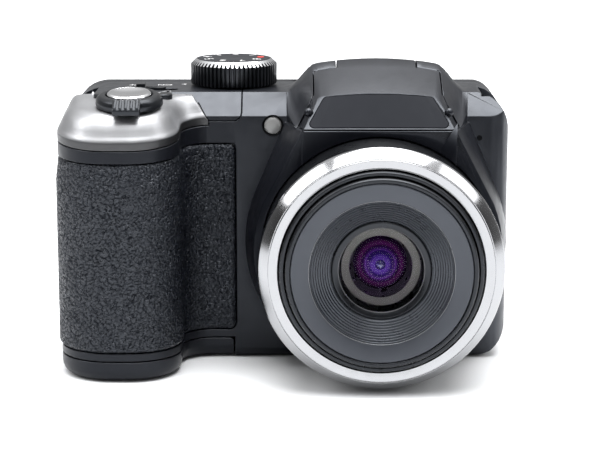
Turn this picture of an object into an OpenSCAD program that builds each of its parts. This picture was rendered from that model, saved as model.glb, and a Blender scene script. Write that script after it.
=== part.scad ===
// Bridge camera with a long zoom lens, a cell-powered hand grip and a flip-up flash.
// Origin: mouth of the tripod socket on the base, on the lens axis. Front is -Y, up is +Z.
// The pieces are cut from one outer form: plan outline, front outline and side profile together.

/* [Body] */
// Depth of the body from the front face to the back
body_d = 36; // [35:0.5:40]
// Distance from the lens axis to the plain side of the body
lens_side = 33; // [33:0.5:40]
// Height of the grip cap and the shoulders above the cells
cap_h = 10.2; // [9.8:0.2:12]
// Height of the flash hump above the shoulders
hump_h = 7.8; // [7.4:0.2:8.6]
// Wall thickness of the plastic covers
wall = 1.6; // [1.5:0.1:1.8]
// Gap between neighbouring mouldings
seam = 0.15; // [0.12:0.01:0.2]
// Gap round every piece that moves
play = 0.3; // [0.25:0.05:0.35]
// Width of the front chamfer along the shoulders
chamfer_d = 6; // [5:0.5:7]
// Height of the front chamfer along the shoulders
chamfer_h = 5.3; // [4.5:0.1:6]

/* [Grip] */
// Reach of the grip in front of the front face
grip_reach = 23.5; // [23:0.5:26]
// Width of the grip
grip_w = 29.6; // [29.6:0.1:33]
// Gap for the fingers between the grip and the lens ring
finger_gap = 19.1; // [18.5:0.1:24]
// Outer front corner radius of the grip
grip_r_out = 13; // [12:0.5:13]
// Inner front corner radius of the grip
grip_r_in = 12; // [11:0.5:12]
// Radius of the throat between the grip and the front face
throat_r = 7.5; // [6.5:0.5:7.5]
// Thickness of the grip rubber
rubber_t = 0.9; // [0.8:0.1:1]
// Forward tilt of the grip cap in degrees
cap_tilt = 6.5; // [6:0.5:7.5]
// Height of the battery door
door_h = 5.1; // [4.9:0.1:5.5]

/* [Cells] */
// Diameter of an AA cell
cell_d = 14; // [13.6:0.1:14.1]
// Length of an AA cell with its nub
cell_l = 50.2; // [49.5:0.1:51]

/* [Lens] */
// Outer diameter of the lens trim ring
ring_d = 58.2; // [57.2:0.2:60]
// Reach of the trim ring in front of the front face
ring_reach = 34.8; // [34:0.2:38]
// Travel of each zoom barrel
zoom_travel = 18; // [12:0.5:18]
// Wall thickness of the zoom barrels
barrel_t = 1.1; // [1:0.05:1.2]

/* [Controls] */
// Diameter of the shutter button
shutter_d = 10.7; // [9.5:0.1:11]
// Diameter of the zoom lever ring
lever_d = 16.2; // [15.8:0.1:16.6]
// Diameter of the mode dial
dial_d = 22; // [20:0.2:22.4]
// Height of the mode dial
dial_h = 6.5; // [5:0.1:7]
// Number of grip teeth on the mode dial
dial_teeth = 60; // [40:2:72]

/* [Screen] */
// Width of the screen window
screen_w = 62; // [56:0.5:62.5]
// Height of the screen window
screen_h = 48; // [40:0.5:49]

/* [Hidden] */
$fn = 64;
// Steps in a quarter turn of an outline
QUARTER = 8;
// A size larger than the whole object
FAR = 200;
// Cutting overlap
EPS = 0.1;

ring_r = ring_d / 2;
sleeve_r = ring_r - 0.9;
bore_r = sleeve_r + play;
base_web = wall + 0.1;
lens_z = bore_r + base_web;
lens_top = lens_z + bore_r;

y_front = -body_d / 2;
y_back = body_d / 2;
y_seam = y_back - 10;
y_grip = y_front - grip_reach;
x_right = max(lens_side, bore_r + 4.5);
x_grip = -(ring_r + finger_gap);
x_left = x_grip - grip_w;

skin = rubber_t + 1.1;
door_floor = 1.8;
cell_z = door_floor + 3.2;
cell_top = cell_z + cell_l;
cap_z = max(cell_top + 1.6, lens_top + 8.3 - cap_h);
body_h = cap_z + cap_h;
hump_z = body_h + hump_h;
cap_slope = tan(cap_tilt);
rubber_z = door_h + 2.2;
rubber_top = cap_z - 3.1;
rubber_slope = cap_slope / 2;

x_top_seam = x_grip + 14.6;
z_top_seam = body_h - chamfer_h - 1.1;
y_cap = y_front + 3.2;
x_cap = x_grip + 6.4;
cap_lean = 0.65;

cell_r = cell_d / 2;
cell_pitch = cell_d + 0.35;
cell_row = cell_pitch * sin(60);
cell_x = x_left + skin + 0.35 + cell_r;
door_y = y_seam - 1.8;
cell_y = door_y - 2 - cell_r - cell_row;
cells = [
    [cell_x, cell_y],
    [cell_x + cell_pitch, cell_y],
    [cell_x + cell_pitch / 2, cell_y - cell_row],
    [cell_x + cell_pitch / 2, cell_y + cell_row]
];

door_x = x_grip + 12.4;
card_y = y_front + skin + 0.4;
door_hinge = [door_x - 1.5, 1.5];
ear_r = 1.2;
ear_w = 3;
ear_y = [y_front + 5, door_y - 5];

face_f = body_d / 2;
ring_f = face_f + ring_reach;
cowl_f = face_f + 11.2;
sleeve_in = sleeve_r - 1.7;
drive_out = sleeve_in - play;
drive_in = drive_out - 1.9;
outer_r = drive_in - play;
inner_r = outer_r - barrel_t - play;
baffle_r = inner_r - barrel_t - 0.05;
glass_r = 10.5;
base_f = face_f - wall - 8.8;
barrel_hold = 22.3;
outer_f = ring_f + 0.8;
inner_f = ring_f + 2.2;
flange_f = face_f - wall;
board_y = y_seam + 1.4;
motor_l = base_f + board_y - 1.2;
gear_m = 0.5;
drive_teeth = round((drive_out + 0.8) * 2 / gear_m);
pinion_teeth = 14;
pinion_c = (drive_teeth + pinion_teeth) * gear_m / 2;
pinion_at = 220;

shutter_x = x_left + 17.7;
shutter_y = y_front - 12;
plateau_z = cap_z + 7.9;
shutter_z = plateau_z + cap_slope * (shutter_y - y_grip);
dial_x = x_grip + 12.2;
dial_y = y_seam - 6;
dial_stem_r = 3.5;
dial_r = dial_d / 2;
switch_x = x_left + 22;
switch_y = y_front + 11;

hinge_y = y_seam - 6.5;
hinge_z = body_h + 0.4;
hinge_r = 5;
hood_r = hinge_y - y_front - 5.6;
neck_w = 9.8;
hood_w = 15.6;
bay_z = body_h - 6.5;
hump_floor = bay_z - 9;
flash_open = 58;

strap_pin_r = 1;
rubber_x = x_grip + 13.2;
rubber_high = rubber_top + 1.9;
port_z = lens_z + 12;
port_hinge_y = y_seam - 3;
bush_r = 5;
lamp_x = x_top_seam + 7.8;
lamp_z = body_h - 7.6;
latch_x = x_left + 11;
latch_y = y_front - 4.2;
pad_r = 10.5;
flash_pin_r = 0.9;

// Small buttons on the grip cap: across, depth
top_buttons = [[x_left + 10.6, y_front - 1.8], [x_left + 24.8, y_front - 1.6]];

screen_x = x_right - 6.4 - screen_w / 2;
screen_z = 8 + screen_h / 2;
pad_x = (x_left + screen_x - screen_w / 2) / 2 + 3.8;
pad_z = 27;

// Round buttons on the back: across, height, radius
back_buttons = [
    [pad_x + 9, body_h - 9.5, 3.2],
    [pad_x - 8, pad_z - 17, 2.9],
    [pad_x + 8, pad_z + 17, 2.9],
    [pad_x + 8, pad_z - 17, 2.9]
];

// Points of an elliptical arc from angle a to angle b
function arc(x, y, rx, ry, a, b, n = QUARTER) =
    [for (i = [0:n]) let (t = a + (b - a) * i / n) [x + rx * cos(t), y + ry * sin(t)]];

// Plan outline of the grip, inset by d, closed at the depth back and at the side end
function grip_plan(d, back, end) = concat(
    [[x_left + d, back]],
    arc(x_left + grip_r_out, y_grip + grip_r_out, grip_r_out - d, grip_r_out - d, 180, 270),
    arc(x_grip - grip_r_in, y_grip + grip_r_in, grip_r_in - d, grip_r_in - d, 270, 360),
    arc(x_grip + throat_r, y_front - throat_r, throat_r + d, throat_r + d, 180, 90),
    [[end, y_front + d], [end, back]]
);

// Plan outline of the body without the grip, inset by d
function body_plan(d) = concat(
    arc(x_right - 5, y_back - 5, 5 - d, 5 - d, 0, 90),
    arc(x_left + 7, y_back - 7, 7 - d, 7 - d, 90, 180),
    [[x_left + d, y_front + d]],
    arc(x_right - 5, y_front + 5, 5 - d, 5 - d, 270, 360)
);

// Front outline of the body, inset by d
function front_outline(d) = concat(
    arc(x_right - 8, body_h - 10, 8 - d, 10 - d, 0, 90),
    arc(x_left + 10, body_h - 8.5, 10 - d, 8.5 - d, 90, 180),
    [[x_left + d, d]],
    arc(x_right - 9, 9, 9 - d, 9 - d, 270, 360)
);

// Side profile of the body, inset by d, with the chamfer along the front of the shoulders
function side_profile(d) = concat(
    arc(y_back - 6, body_h - 6, 6 - d, 6 - d, 0, 90),
    [[y_front + chamfer_d + d * 0.6, body_h - d], [y_front + d, body_h - chamfer_h - d * 0.6]],
    arc(y_front + 2.5, 2.5, 2.5 - d, 2.5 - d, 180, 270, 5),
    arc(y_back - 2.5, 2.5, 2.5 - d, 2.5 - d, 270, 360, 5)
);

// Closed skin through rings of points of equal count
module skin_rings(rings) {
    n = len(rings[0]);
    m = len(rings);
    points = [for (ring = rings) each ring];
    sides = [
        for (j = [0:m - 2], i = [0:n - 1])
        let (k = (i + 1) % n)
        each [
            [j * n + i, (j + 1) * n + k, (j + 1) * n + i],
            [j * n + i, j * n + k, (j + 1) * n + k]
        ]
    ];
    first = [for (i = [n - 1:-1:0]) i];
    last = [for (i = [0:n - 1]) (m - 1) * n + i];
    polyhedron(points, concat(sides, [first], [last]), convexity = 8);
}

// Box between two corners
module box(a, b) {
    translate(a) cube(b - a);
}

// Everything above a plane that passes through a depth and a height and rises backwards
module above(y, z, slope) {
    translate([0, y, z]) rotate([atan(slope), 0, 0]) box([-FAR, -FAR, 0], [FAR, FAR, FAR]);
}

// Places a piece on the lens axis with its own +Z towards the front
module on_lens() {
    translate([0, 0, lens_z]) rotate([90, 0, 0]) children();
}

// Places a piece on the shutter axis
module on_shutter() {
    translate([shutter_x, shutter_y, shutter_z]) rotate([cap_tilt, 0, 0]) children();
}

// Places a piece on the back with its own +Z towards the user
module on_back(x, z) {
    translate([x, y_back, z]) rotate([-90, 0, 0]) children();
}

// Outer form of the body, inset by d
module body_form(d) {
    intersection() {
        translate([0, 0, -EPS]) linear_extrude(body_h + 2 * EPS) polygon(body_plan(d));
        translate([0, y_back + EPS, 0]) rotate([90, 0, 0])
            linear_extrude(body_d + 2 * EPS) polygon(front_outline(d));
        translate([x_left - EPS, 0, 0]) rotate([90, 0, 90])
            linear_extrude(x_right - x_left + 2 * EPS) polygon(side_profile(d));
    }
}

// Grip between two heights, inset by d
module grip_form(d, low, high, end = door_x) {
    translate([0, 0, low]) linear_extrude(high - low) polygon(grip_plan(d, y_front + 6, end));
}

// Rows of the flash hump: depth, top, half width of the top, crown, half width at the foot, foot height
function hump_rows(pitch = (body_d - 13) / 5.75) = [
    [y_front - 14, bay_z - 0.3, 18.4, 0.1, 18.6, bay_z - 0.7],
    [y_front - 7, body_h + 1.5, 13.7, 0.9, 20.6, bay_z + 0.2],
    [y_front, body_h + 4.4, 14.2, 1, 22.2, bay_z + 2],
    [y_front + 6, hump_z - 1.6, 14.6, 1.1, 22.6, body_h - 0.1],
    [y_front + 6 + pitch, hump_z, 14.8, 1.2, 22.8, body_h - 0.1],
    [y_front + 6 + 2 * pitch, hump_z - 0.3, 14.8, 1.2, 22.8, body_h - 0.1],
    [y_front + 6 + 3 * pitch, hump_z - 1.5, 14.8, 1.2, 22.6, body_h - 0.1],
    [y_front + 6 + 4 * pitch, hump_z - 3.6, 14.8, 1.1, 22.2, body_h - 0.1],
    [y_front + 6 + 5 * pitch, hump_z - 5.9, 14.6, 0.8, 21.6, body_h - 0.1],
    [y_front + 6 + 5.75 * pitch, hump_z - 7.2, 14.2, 0.4, 21, body_h - 0.1]
];

// Flank of one hump row as a soft step from the foot up to the edge of the top
function flank(row, d, n = 7) =
    let (edge = row[1] - row[3] - d)
    [for (i = [0:n - 1]) let (t = i / n, s = t * t * (3 - 2 * t))
        [row[4] - d + (row[2] - row[4]) * t, row[5] - d + (edge - row[5] + d) * s]];

// Outline of one hump row across the camera
function hump_ring(row, d, n = 10) =
    let (side = flank(row, d), a = row[2] - d)
    [for (p = concat(
        [[row[4] - d, hump_floor]],
        side,
        [for (i = [0:n]) let (x = a - 2 * a * i / n) [x, row[1] - d - row[3] * pow(x / a, 2)]],
        [for (i = [len(side) - 1:-1:0]) [-side[i][0], side[i][1]]],
        [[d - row[4], hump_floor]]
    )) [p[0], row[0], p[1]]];

// Flash hump, inset by d
module hump_form(d) {
    skin_rings([for (row = hump_rows()) hump_ring(row, d)]);
}

// Wide front part of the flash hood, outside a turning radius about the hinge
module hood_front(grow, low) {
    difference() {
        union() {
            box([-hood_w - grow, y_front - 8, low], [hood_w + grow, hinge_y - 4, FAR]);
            translate([0, 0, low]) linear_extrude(FAR) polygon([
                [-hood_w - grow, y_front - 4], [-hood_w - grow - 12, y_front - 20],
                [hood_w + grow + 12, y_front - 20], [hood_w + grow, y_front - 4]
            ]);
        }
        translate([-FAR / 2, hinge_y, hinge_z]) rotate([0, 90, 0]) cylinder(r = hood_r - grow, h = FAR);
    }
}

// Room of the flash hood: a neck that ends in a barrel on the hinge, and the wide front
module hood_room(grow, low) {
    box([-neck_w - grow, y_front - 2, low], [neck_w + grow, hinge_y, FAR]);
    hood_front(grow, low);
    translate([-neck_w - grow, hinge_y, hinge_z]) rotate([0, 90, 0])
        cylinder(r = hinge_r + grow, h = 2 * (neck_w + grow));
}

// Bores of the flash hinge pins in both cheeks
module flash_pin_bores() {
    translate([-neck_w - 3.2, hinge_y, hinge_z]) rotate([0, 90, 0])
        cylinder(r = flash_pin_r + 0.02, h = 2 * neck_w + 6.4, $fn = 32);
}

// Bore for the stem of the mode dial
module dial_bore() {
    translate([dial_x, dial_y, body_h - 8]) cylinder(r = dial_stem_r + 0.08, h = 20);
}

// Region of the grip cap
module cap_room(grow) {
    intersection() {
        above(y_grip, cap_z - grow, cap_slope);
        cap_side(grow, FAR);
    }
}

// Everything on the grip's side of the leaning end of the cap, up to a height
module cap_side(grow, high) {
    translate([0, y_cap + grow, 0]) rotate([90, 0, 0]) linear_extrude(FAR) polygon([
        [-FAR, 0], [x_cap + grow, 0], [x_cap + grow, z_top_seam],
        [x_cap + grow - cap_lean * (high - z_top_seam), high], [-FAR, high]
    ]);
}

// Region of the top cover
module top_room(grow) {
    translate([0, FAR, 0]) rotate([90, 0, 0]) linear_extrude(2 * FAR) polygon(concat(
        [[-FAR, z_top_seam - grow]],
        arc(x_top_seam - 2, z_top_seam + 2, 2 + grow, 2 + grow, 270, 360, 4),
        [[x_top_seam + grow, FAR], [-FAR, FAR]]
    ));
}

// Region of the battery door
module door_room(grow) {
    box([-FAR, -FAR, -FAR], [door_x + grow, door_y + grow, door_h + grow]);
}

// Long hole with round ends
module slot_shape(long, wide) {
    square([long - wide, wide], center = true);
    for (x = [-1, 1]) translate([x * (long - wide) / 2, 0]) circle(r = wide / 2);
}

// Thumb rest on the back, grown by g and starting at a height over the back face
module thumb_shape(g, start) {
    on_back(x_left + 15.5, body_h - 19) translate([0, 0, start]) linear_extrude(2 - start)
        rotate(90) slot_shape(18 + 2 * g, 13 + 2 * g);
}

// Recess, hinge groove and socket opening behind the port cover
module port_recess() {
    box([x_right - 1.5, port_hinge_y - 11, port_z - 8 - play], [FAR, port_hinge_y + 1.1, port_z + 8 + play]);
    box([x_right - 6, port_hinge_y - 9.6, port_z - 4.2], [FAR, port_hinge_y - 1.6, port_z + 4.2]);
}

// Notch in a shoulder round a strap pin, open to the top and to that side
module strap_pocket(x) {
    inner = x - sign(x) * 2.6;
    box([min(inner, sign(x) * FAR), y_front + 5, body_h - 7.6], [max(inner, sign(x) * FAR), y_front + 17, FAR]);
}

// Both strap pin positions
strap_x = [x_left + 4.8, x_right - 4.2];

// Hood of the lens: round at the lens and drawn up into a brow under the flash
module cowl() {
    intersection() {
        hull() {
            on_lens() translate([0, 0, face_f - 2]) cylinder(r = bore_r + 2, h = cowl_f - face_f + 2);
            on_lens() translate([0, 0, face_f - 2]) cylinder(r = bore_r + 4.1, h = 2.6);
            box([-18.6, y_front - 14, bay_z - 0.6], [18.6, y_front - 13, bay_z - 0.3]);
            box([-22.7, y_front - 0.6, bay_z - 0.6], [22.7, y_front, bay_z - 0.3]);
        }
        box([-FAR, -FAR, 0.4], [FAR, y_front + wall, bay_z - seam]);
    }
}

// Blocks round both strap pins that close the ends of their pockets
module strap_blocks() {
    intersection() {
        body_form(0);
        for (x = strap_x) translate([x, y_front + 19.5, body_h - 4.2])
            rotate([90, 0, 0]) cylinder(r = 5.6, h = 17);
    }
}

// Pockets and seats of both strap pins
module strap_cuts() {
    for (x = strap_x) {
        strap_pocket(x);
        translate([x, y_front + 19, body_h - 4.2]) rotate([90, 0, 0]) cylinder(r = strap_pin_r + 0.02, h = 16);
    }
}

// Front half of everything
module front_half() {
    box([-FAR, -FAR, -FAR], [FAR, y_seam - seam / 2, FAR]);
}

// Skin of the grip that the rubber lies on, between an inner and an outer offset, shrunk by gap
module rubber_zone(inner, outer, gap) {
    intersection() {
        difference() {
            grip_form(-outer, 0, body_h, x_grip + 20);
            grip_form(inner, -EPS, body_h + EPS, x_grip + 20 + EPS);
        }
        translate([0, y_front + 2.5 - gap, 0]) rotate([90, 0, 0]) linear_extrude(FAR) polygon(concat(
            [[x_left - 5, rubber_z + gap]],
            arc(rubber_x - 2, rubber_z + 2, 2 - gap, 2 - gap, 270, 360, 4),
            arc(rubber_x - 2, rubber_high - 2, 2 - gap, 2 - gap, 0, 90, 4),
            [[x_left - 5, rubber_high - gap]]
        ));
        difference() {
            box([-FAR, -FAR, 0], [FAR, FAR, FAR]);
            above(y_grip, rubber_top - gap, rubber_slope);
        }
    }
}

// Seat of a screw whose head is flush with a wall: own +Z points out of the wall
module screw_seat() {
    translate([0, 0, -6]) cylinder(r = 0.82, h = 7, $fn = 24);
    translate([0, 0, -1]) cylinder(r = 1.75, h = 2, $fn = 32);
}

// Places a piece at every case screw, own +Z out of the wall
module at_screws() {
    translate([15, y_seam - 3, 0]) rotate([180, 0, 0]) children();
    translate([door_x + 4.3, y_seam - 4, 0]) rotate([180, 0, 0]) children();
    translate([x_right, y_seam - 4, 16]) rotate([0, 90, 0]) children();
    translate([x_right, y_seam - 3.5, body_h - 11]) rotate([0, 90, 0]) children();
}

// Barrels of the ears that carry the hinge pin of the battery door
module ear_barrels(grow) {
    for (y = ear_y) translate([door_hinge[0], y + ear_w + grow, door_hinge[1]]) rotate([90, 0, 0])
        cylinder(r = ear_r + grow, h = ear_w + 2 * grow, $fn = 32);
}

// Ears of the front cover: a barrel on an arm that stays above the swing of the door's lower edge
module door_ears() {
    ear_barrels(0);
    for (y = ear_y) {
        box([door_hinge[0], y, door_hinge[1] + 0.45], [door_x + 2.4, y + ear_w, door_hinge[1] + ear_r]);
        box([door_x + play, y, 0.3], [door_x + 2.4, y + ear_w, door_hinge[1] + ear_r]);
    }
}

// Room for the ears in the battery door
module ear_room() {
    ear_barrels(play);
    for (y = ear_y)
        box([door_hinge[0], y - play, -FAR], [FAR, y + ear_w + play, door_hinge[1] + ear_r + play + EPS]);
}

module front_cover() {
    color("#2b2d31") difference() {
        union() {
            difference() {
                union() {
                    intersection() {
                        body_form(0);
                        front_half();
                    }
                    grip_form(0, door_h + play, body_h);
                    cowl();
                    intersection() {
                        hump_form(0);
                        front_half();
                    }
                }
                body_form(wall);
                grip_form(skin, -EPS, body_h + EPS, door_x - 1);
            }
            intersection() {
                hood_room(play + 1.2, bay_z - play - 1.2);
                body_form(0.3);
                front_half();
            }
            intersection() {
                strap_blocks();
                front_half();
            }
            box([x_right - 3, port_hinge_y - 12, port_z - 9], [x_right - 1.2, port_hinge_y + 1.6, port_z + 9]);
            translate([0, 0, 0.8]) cylinder(r = 6.4, h = 5.4);
            door_ears();
            intersection() {
                body_form(0.3);
                at_screws() translate([0, 0, -6.6]) cylinder(r = 2.2, h = 6.2, $fn = 32);
            }
        }
        cap_room(seam);
        top_room(seam);
        difference() {
            door_room(play);
            door_ears();
        }
        hood_room(play, bay_z - play);
        flash_pin_bores();
        strap_cuts();
        rubber_zone(rubber_t, 1, 0);
        on_lens() translate([0, 0, flange_f - EPS]) cylinder(r = bore_r, h = FAR);
        translate([lamp_x, y_front - EPS, lamp_z]) rotate([-90, 0, 0]) cylinder(r = 2.3, h = 4);
        translate([x_right - 9.6, y_front - EPS, body_h - 11.1]) rotate([-90, 0, 0])
            cylinder(r = 0.6, h = 4, $fn = 24);
        translate([0, 0, -EPS]) cylinder(r = bush_r + 0.02, h = 8);
        at_screws() screw_seat();
        dial_bore();
        translate([door_hinge[0], door_y, door_hinge[1]]) rotate([90, 0, 0])
            cylinder(r = 0.72, h = door_y - y_front - 4, $fn = 32);
        port_recess();
    }
}

module top_cover() {
    color("#2b2d31") difference() {
        union() {
            difference() {
                intersection() {
                    body_form(0);
                    front_half();
                    top_room(0);
                }
                body_form(wall);
            }
            intersection() {
                strap_blocks();
                top_room(0);
            }
        }
        cap_room(seam);
        strap_cuts();
        dial_bore();
        translate([switch_x, switch_y, body_h - 5]) linear_extrude(10) slot_shape(12, 3.8);
    }
}

module rear_cover() {
    color("#26282b") difference() {
        intersection() {
            union() {
                body_form(0);
                hump_form(0);
            }
            box([-FAR, y_seam + seam / 2, -FAR], [FAR, FAR, FAR]);
        }
        body_form(wall);
        box([screen_x - screen_w / 2, y_back - 1.2, screen_z - screen_h / 2],
            [screen_x + screen_w / 2, FAR, screen_z + screen_h / 2]);
        box([screen_x - screen_w / 2 + 1.4, 0, screen_z - screen_h / 2 + 1.4],
            [screen_x + screen_w / 2 - 1.4, FAR, screen_z + screen_h / 2 - 1.4]);
        for (b = back_buttons) on_back(b[0], b[1]) translate([0, 0, -5]) cylinder(r = b[2] + play, h = 8);
        on_back(pad_x, pad_z) translate([0, 0, -5]) cylinder(r = pad_r + play, h = 8);
        thumb_shape(0.05, -0.6);
    }
}

module grip_cap() {
    color("#b9bcc0") difference() {
        intersection() {
            cap_skin(0, 0);
            cap_side(0, body_h);
        }
        intersection() {
            cap_skin(1.4, 1.3);
            box([-FAR, -FAR, 0], [FAR, FAR, body_h - 1.3]);
        }
        on_shutter() translate([0, 0, -8]) cylinder(r = 4.05, h = 16);
        for (b = top_buttons) translate([b[0], b[1], body_h - 8]) cylinder(r = 2.6 + play, h = 16);
    }
}

// Skin of the grip cap, inset by d and lowered by t, leaning forward with the grip
module cap_skin(d, t) {
    steps = [[0, -0.01], [0, 2.2], [0.5, 2.5], [1.2, 4.3], [2.1, 6.1], [3, 7.1], [3.9, 7.7], [5, 7.9]];
    multmatrix([[1, 0, 0, 0], [0, 1, 0, 0], [0, cap_slope, 1, -cap_slope * y_grip], [0, 0, 0, 1]])
        skin_rings([for (s = [len(steps) - 1:-1:0])
            let (ring = grip_plan(steps[s][0] + d, y_front + 8, x_grip + 12))
            [for (p = ring) [p[0], p[1], cap_z + steps[s][1] - t]]]);
}

module grip_rubber() {
    color("#1b1d22") rubber_zone(rubber_t - 0.05, 0.25, 0.1);
}

// Everything beside the hinge of the battery door between two heights and outside a turning radius
module door_end(r, low, high) {
    difference() {
        box([door_hinge[0], -FAR, low], [FAR, FAR, high]);
        translate([door_hinge[0], FAR, door_hinge[1]]) rotate([90, 0, 0]) cylinder(r = r, h = 2 * FAR);
    }
}

module battery_door() {
    color("#24262a") difference() {
        skin_rings([for (s = [[0, door_h + 1], [0, 3.2], [0.15, 2.2], [0.6, 1.2], [1.4, 0.5], [2.8, 0]])
            [for (p = grip_plan(s[0], door_y, door_x)) [p[0], p[1], s[1]]]]);
        box([-FAR, -FAR, door_h], [FAR, FAR, FAR]);
        translate([0, 0, door_floor]) linear_extrude(door_h) polygon(grip_plan(skin, door_y - 1.5, door_x - 4));
        door_end(door_x - door_hinge[0] - 0.05, -FAR, door_hinge[1]);
        door_end(door_h - door_hinge[1] - 0.05, door_hinge[1], FAR);
        ear_room();
        translate([door_hinge[0], door_y + EPS, door_hinge[1]]) rotate([90, 0, 0])
            cylinder(r = 0.76, h = door_y - y_front - 4, $fn = 32);
        translate([latch_x, latch_y, -EPS]) linear_extrude(0.9 + EPS) slot_shape(12, 5.6);
        translate([latch_x, latch_y, -EPS]) linear_extrude(4) slot_shape(8, 2.8);
    }
}

module door_latch() {
    color("#3a3c40") translate([latch_x - 1.25, latch_y, 0]) {
        difference() {
            translate([0, 0, 0.1]) linear_extrude(0.6) slot_shape(8.6, 5);
            for (x = [-2, 0, 2]) translate([x - 0.25, -1.8, 0]) cube([0.5, 3.6, 0.35]);
        }
        translate([0, 0, 0.5]) linear_extrude(1.6) slot_shape(4.6, 2.2);
        translate([0, 0, 2.05]) linear_extrude(0.7) slot_shape(9, 4);
    }
}

module door_hinge_pin() {
    color("#8f9296") translate([door_hinge[0], door_y - 0.8, door_hinge[1]]) rotate([90, 0, 0])
        cylinder(r = 0.7, h = door_y - y_front - 5.4, $fn = 32);
}

module door_contacts() {
    color("#c9b37a") for (pair = [[0, 2], [1, 3]]) {
        a = cells[pair[0]];
        b = cells[pair[1]];
        difference() {
            translate([0, 0, door_floor]) linear_extrude(0.4) union() {
                translate(a) circle(r = 3.6);
                translate(b) circle(r = 3.6);
                polygon([a + [-2, 0], a + [2, 0], b + [2, 0], b + [-2, 0]]);
            }
            translate([latch_x - 9, latch_y - 3.4, 0]) cube([18, 6.8, 9]);
        }
        for (p = [a, b]) translate([p[0], p[1], door_floor + 0.4])
            cylinder(r1 = 3.2, r2 = 2, h = cell_z - door_floor - 0.4 - play);
    }
}

module battery_box() {
    color("#34363a") intersection() {
        difference() {
            union() {
                for (c = cells) translate([c[0], c[1], door_h + 0.8])
                    cylinder(r = cell_r + 1.05, h = cell_top + 1.3 - door_h - 0.8);
                translate([0, 0, cell_top + 0.65]) linear_extrude(0.65)
                    polygon([cells[0], cells[2], cells[1], cells[3]]);
            }
            for (c = cells) translate([c[0], c[1], 0]) cylinder(r = cell_r + 0.2, h = cell_top + 0.65);
        }
        union() {
            grip_form(skin + 0.15, 0, body_h, door_x - 4);
            body_form(wall + 0.15);
        }
    }
}

module battery_contacts() {
    color("#c9b37a") for (c = cells) translate([c[0], c[1], cell_top + 0.05]) {
        cylinder(r = 3.4, h = 0.6);
        translate([-1, -6.4, 0.2]) cube([2, 6, 0.4]);
    }
}

module battery_cells() {
    color("#6d7278") for (i = [0:3]) translate([cells[i][0], cells[i][1], cell_z + (i < 2 ? 0 : 1)]) {
        cylinder(r = cell_r, h = cell_l - 1);
        translate([0, 0, i < 2 ? cell_l - 1.2 : -1]) cylinder(r = 2.7, h = 1.2, $fn = 32);
    }
}

module card_slot() {
    color("#9da1a6") difference() {
        box([door_x - 9.2, card_y, door_h + 1], [door_x - 6, y_seam - 1, door_h + 28]);
        box([door_x - 8.7, card_y + 0.5, 0], [door_x - 6.5, y_seam - 1.5, door_h + 26]);
    }
}

module port_cover() {
    color("#222428") {
        translate([x_right - 0.6, port_hinge_y, port_z - 8]) cylinder(r = 0.6, h = 16, $fn = 32);
        difference() {
            box([x_right - 1.1, port_hinge_y - 11 + play, port_z - 8], [x_right, port_hinge_y, port_z + 8]);
            box([x_right - 0.3, port_hinge_y - 10, port_z - 3], [FAR, port_hinge_y - 8.8, port_z + 3]);
        }
    }
}

module usb_socket() {
    color("#a4a8ad") difference() {
        box([x_right - 7.8, port_hinge_y - 9.4, port_z - 4], [x_right - 1.6, port_hinge_y - 1.8, port_z + 4]);
        box([x_right - 6.6, port_hinge_y - 8.8, port_z - 3.4], [FAR, port_hinge_y - 2.4, port_z + 3.4]);
        box([x_right - 6.6, port_hinge_y - 6.2, port_z - 2.6], [x_right - 2.4, port_hinge_y - 5, port_z + 2.6]);
    }
}

module flash_hood() {
    color("#2b2d31") difference() {
        union() {
            intersection() {
                hump_form(0);
                hood_room(0, bay_z);
            }
            for (x = [-1, 1]) translate([x * 17, y_front - 10.2, body_h - 2.8]) sphere(r = 1.1, $fn = 24);
        }
        intersection() {
            hump_form(1.5);
            union() {
                hood_front(-1.5, bay_z - 6);
                box([1.5 - neck_w, y_front - 2, bay_z - 6], [neck_w - 1.5, hinge_y - hinge_r - 0.8, FAR]);
            }
        }
        difference() {
            plate_prism(0.08);
            hump_form(0.8);
        }
        translate([-FAR / 2, hinge_y, hinge_z]) rotate([0, 90, 0])
            cylinder(r = flash_pin_r + 0.06, h = FAR, $fn = 32);
    }
}

// Prism through the front plate of the hood, square to its slope
module plate_prism(grow) {
    rise = body_h + 1.8 - bay_z;
    translate([0, y_front - 10.5, bay_z - 0.3 + rise / 2]) rotate([atan2(rise, 7), 0, 0])
        translate([0, 0, -3]) linear_extrude(8) offset(r = grow + 1.2) offset(delta = -1.2) polygon(concat(
            [[-17.4, -4.5], [17.4, -4.5]],
            [for (i = [0:8]) let (x = 13.2 - 26.4 * i / 8) [x, 4.5 + 0.5 * (1 - pow(x / 13.2, 2))]]
        ));
}

module flash_front_plate() {
    color("#1d1f23") difference() {
        intersection() {
            plate_prism(0);
            hump_form(-0.1);
        }
        hump_form(0.75);
    }
}

// Places a piece of the flash with its own +Z out of the window
module on_flash() {
    translate([0, y_front - 3, bay_z + 1.8]) rotate([90 + flash_open, 0, 0]) children();
}

module flash_window() {
    color("#e6e9ec") on_flash() difference() {
        box([-11.6, -2.6, -1], [11.6, 2.6, 0]);
        for (x = [-10:2:10]) translate([x, 0, -1.3]) rotate([90, 0, 0])
            cylinder(r = 0.5, h = 5, center = true, $fn = 16);
    }
}

module flash_reflector() {
    color("#c4c7ca") on_flash() difference() {
        union() {
            box([-12.2, -2.8, -4.2], [12.2, 2.8, -1]);
            box([-13.95, -1.6, -2.2], [13.95, 1.6, -1]);
        }
        translate([0, 0, -0.9]) rotate([0, 90, 0]) cylinder(r = 2.4, h = 21.6, center = true);
    }
}

module flash_tube() {
    color("#dfe6ea") on_flash() translate([-10.8, 0, -2.05]) rotate([0, 90, 0])
        cylinder(r = 1.05, h = 21.6, $fn = 32);
}

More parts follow.
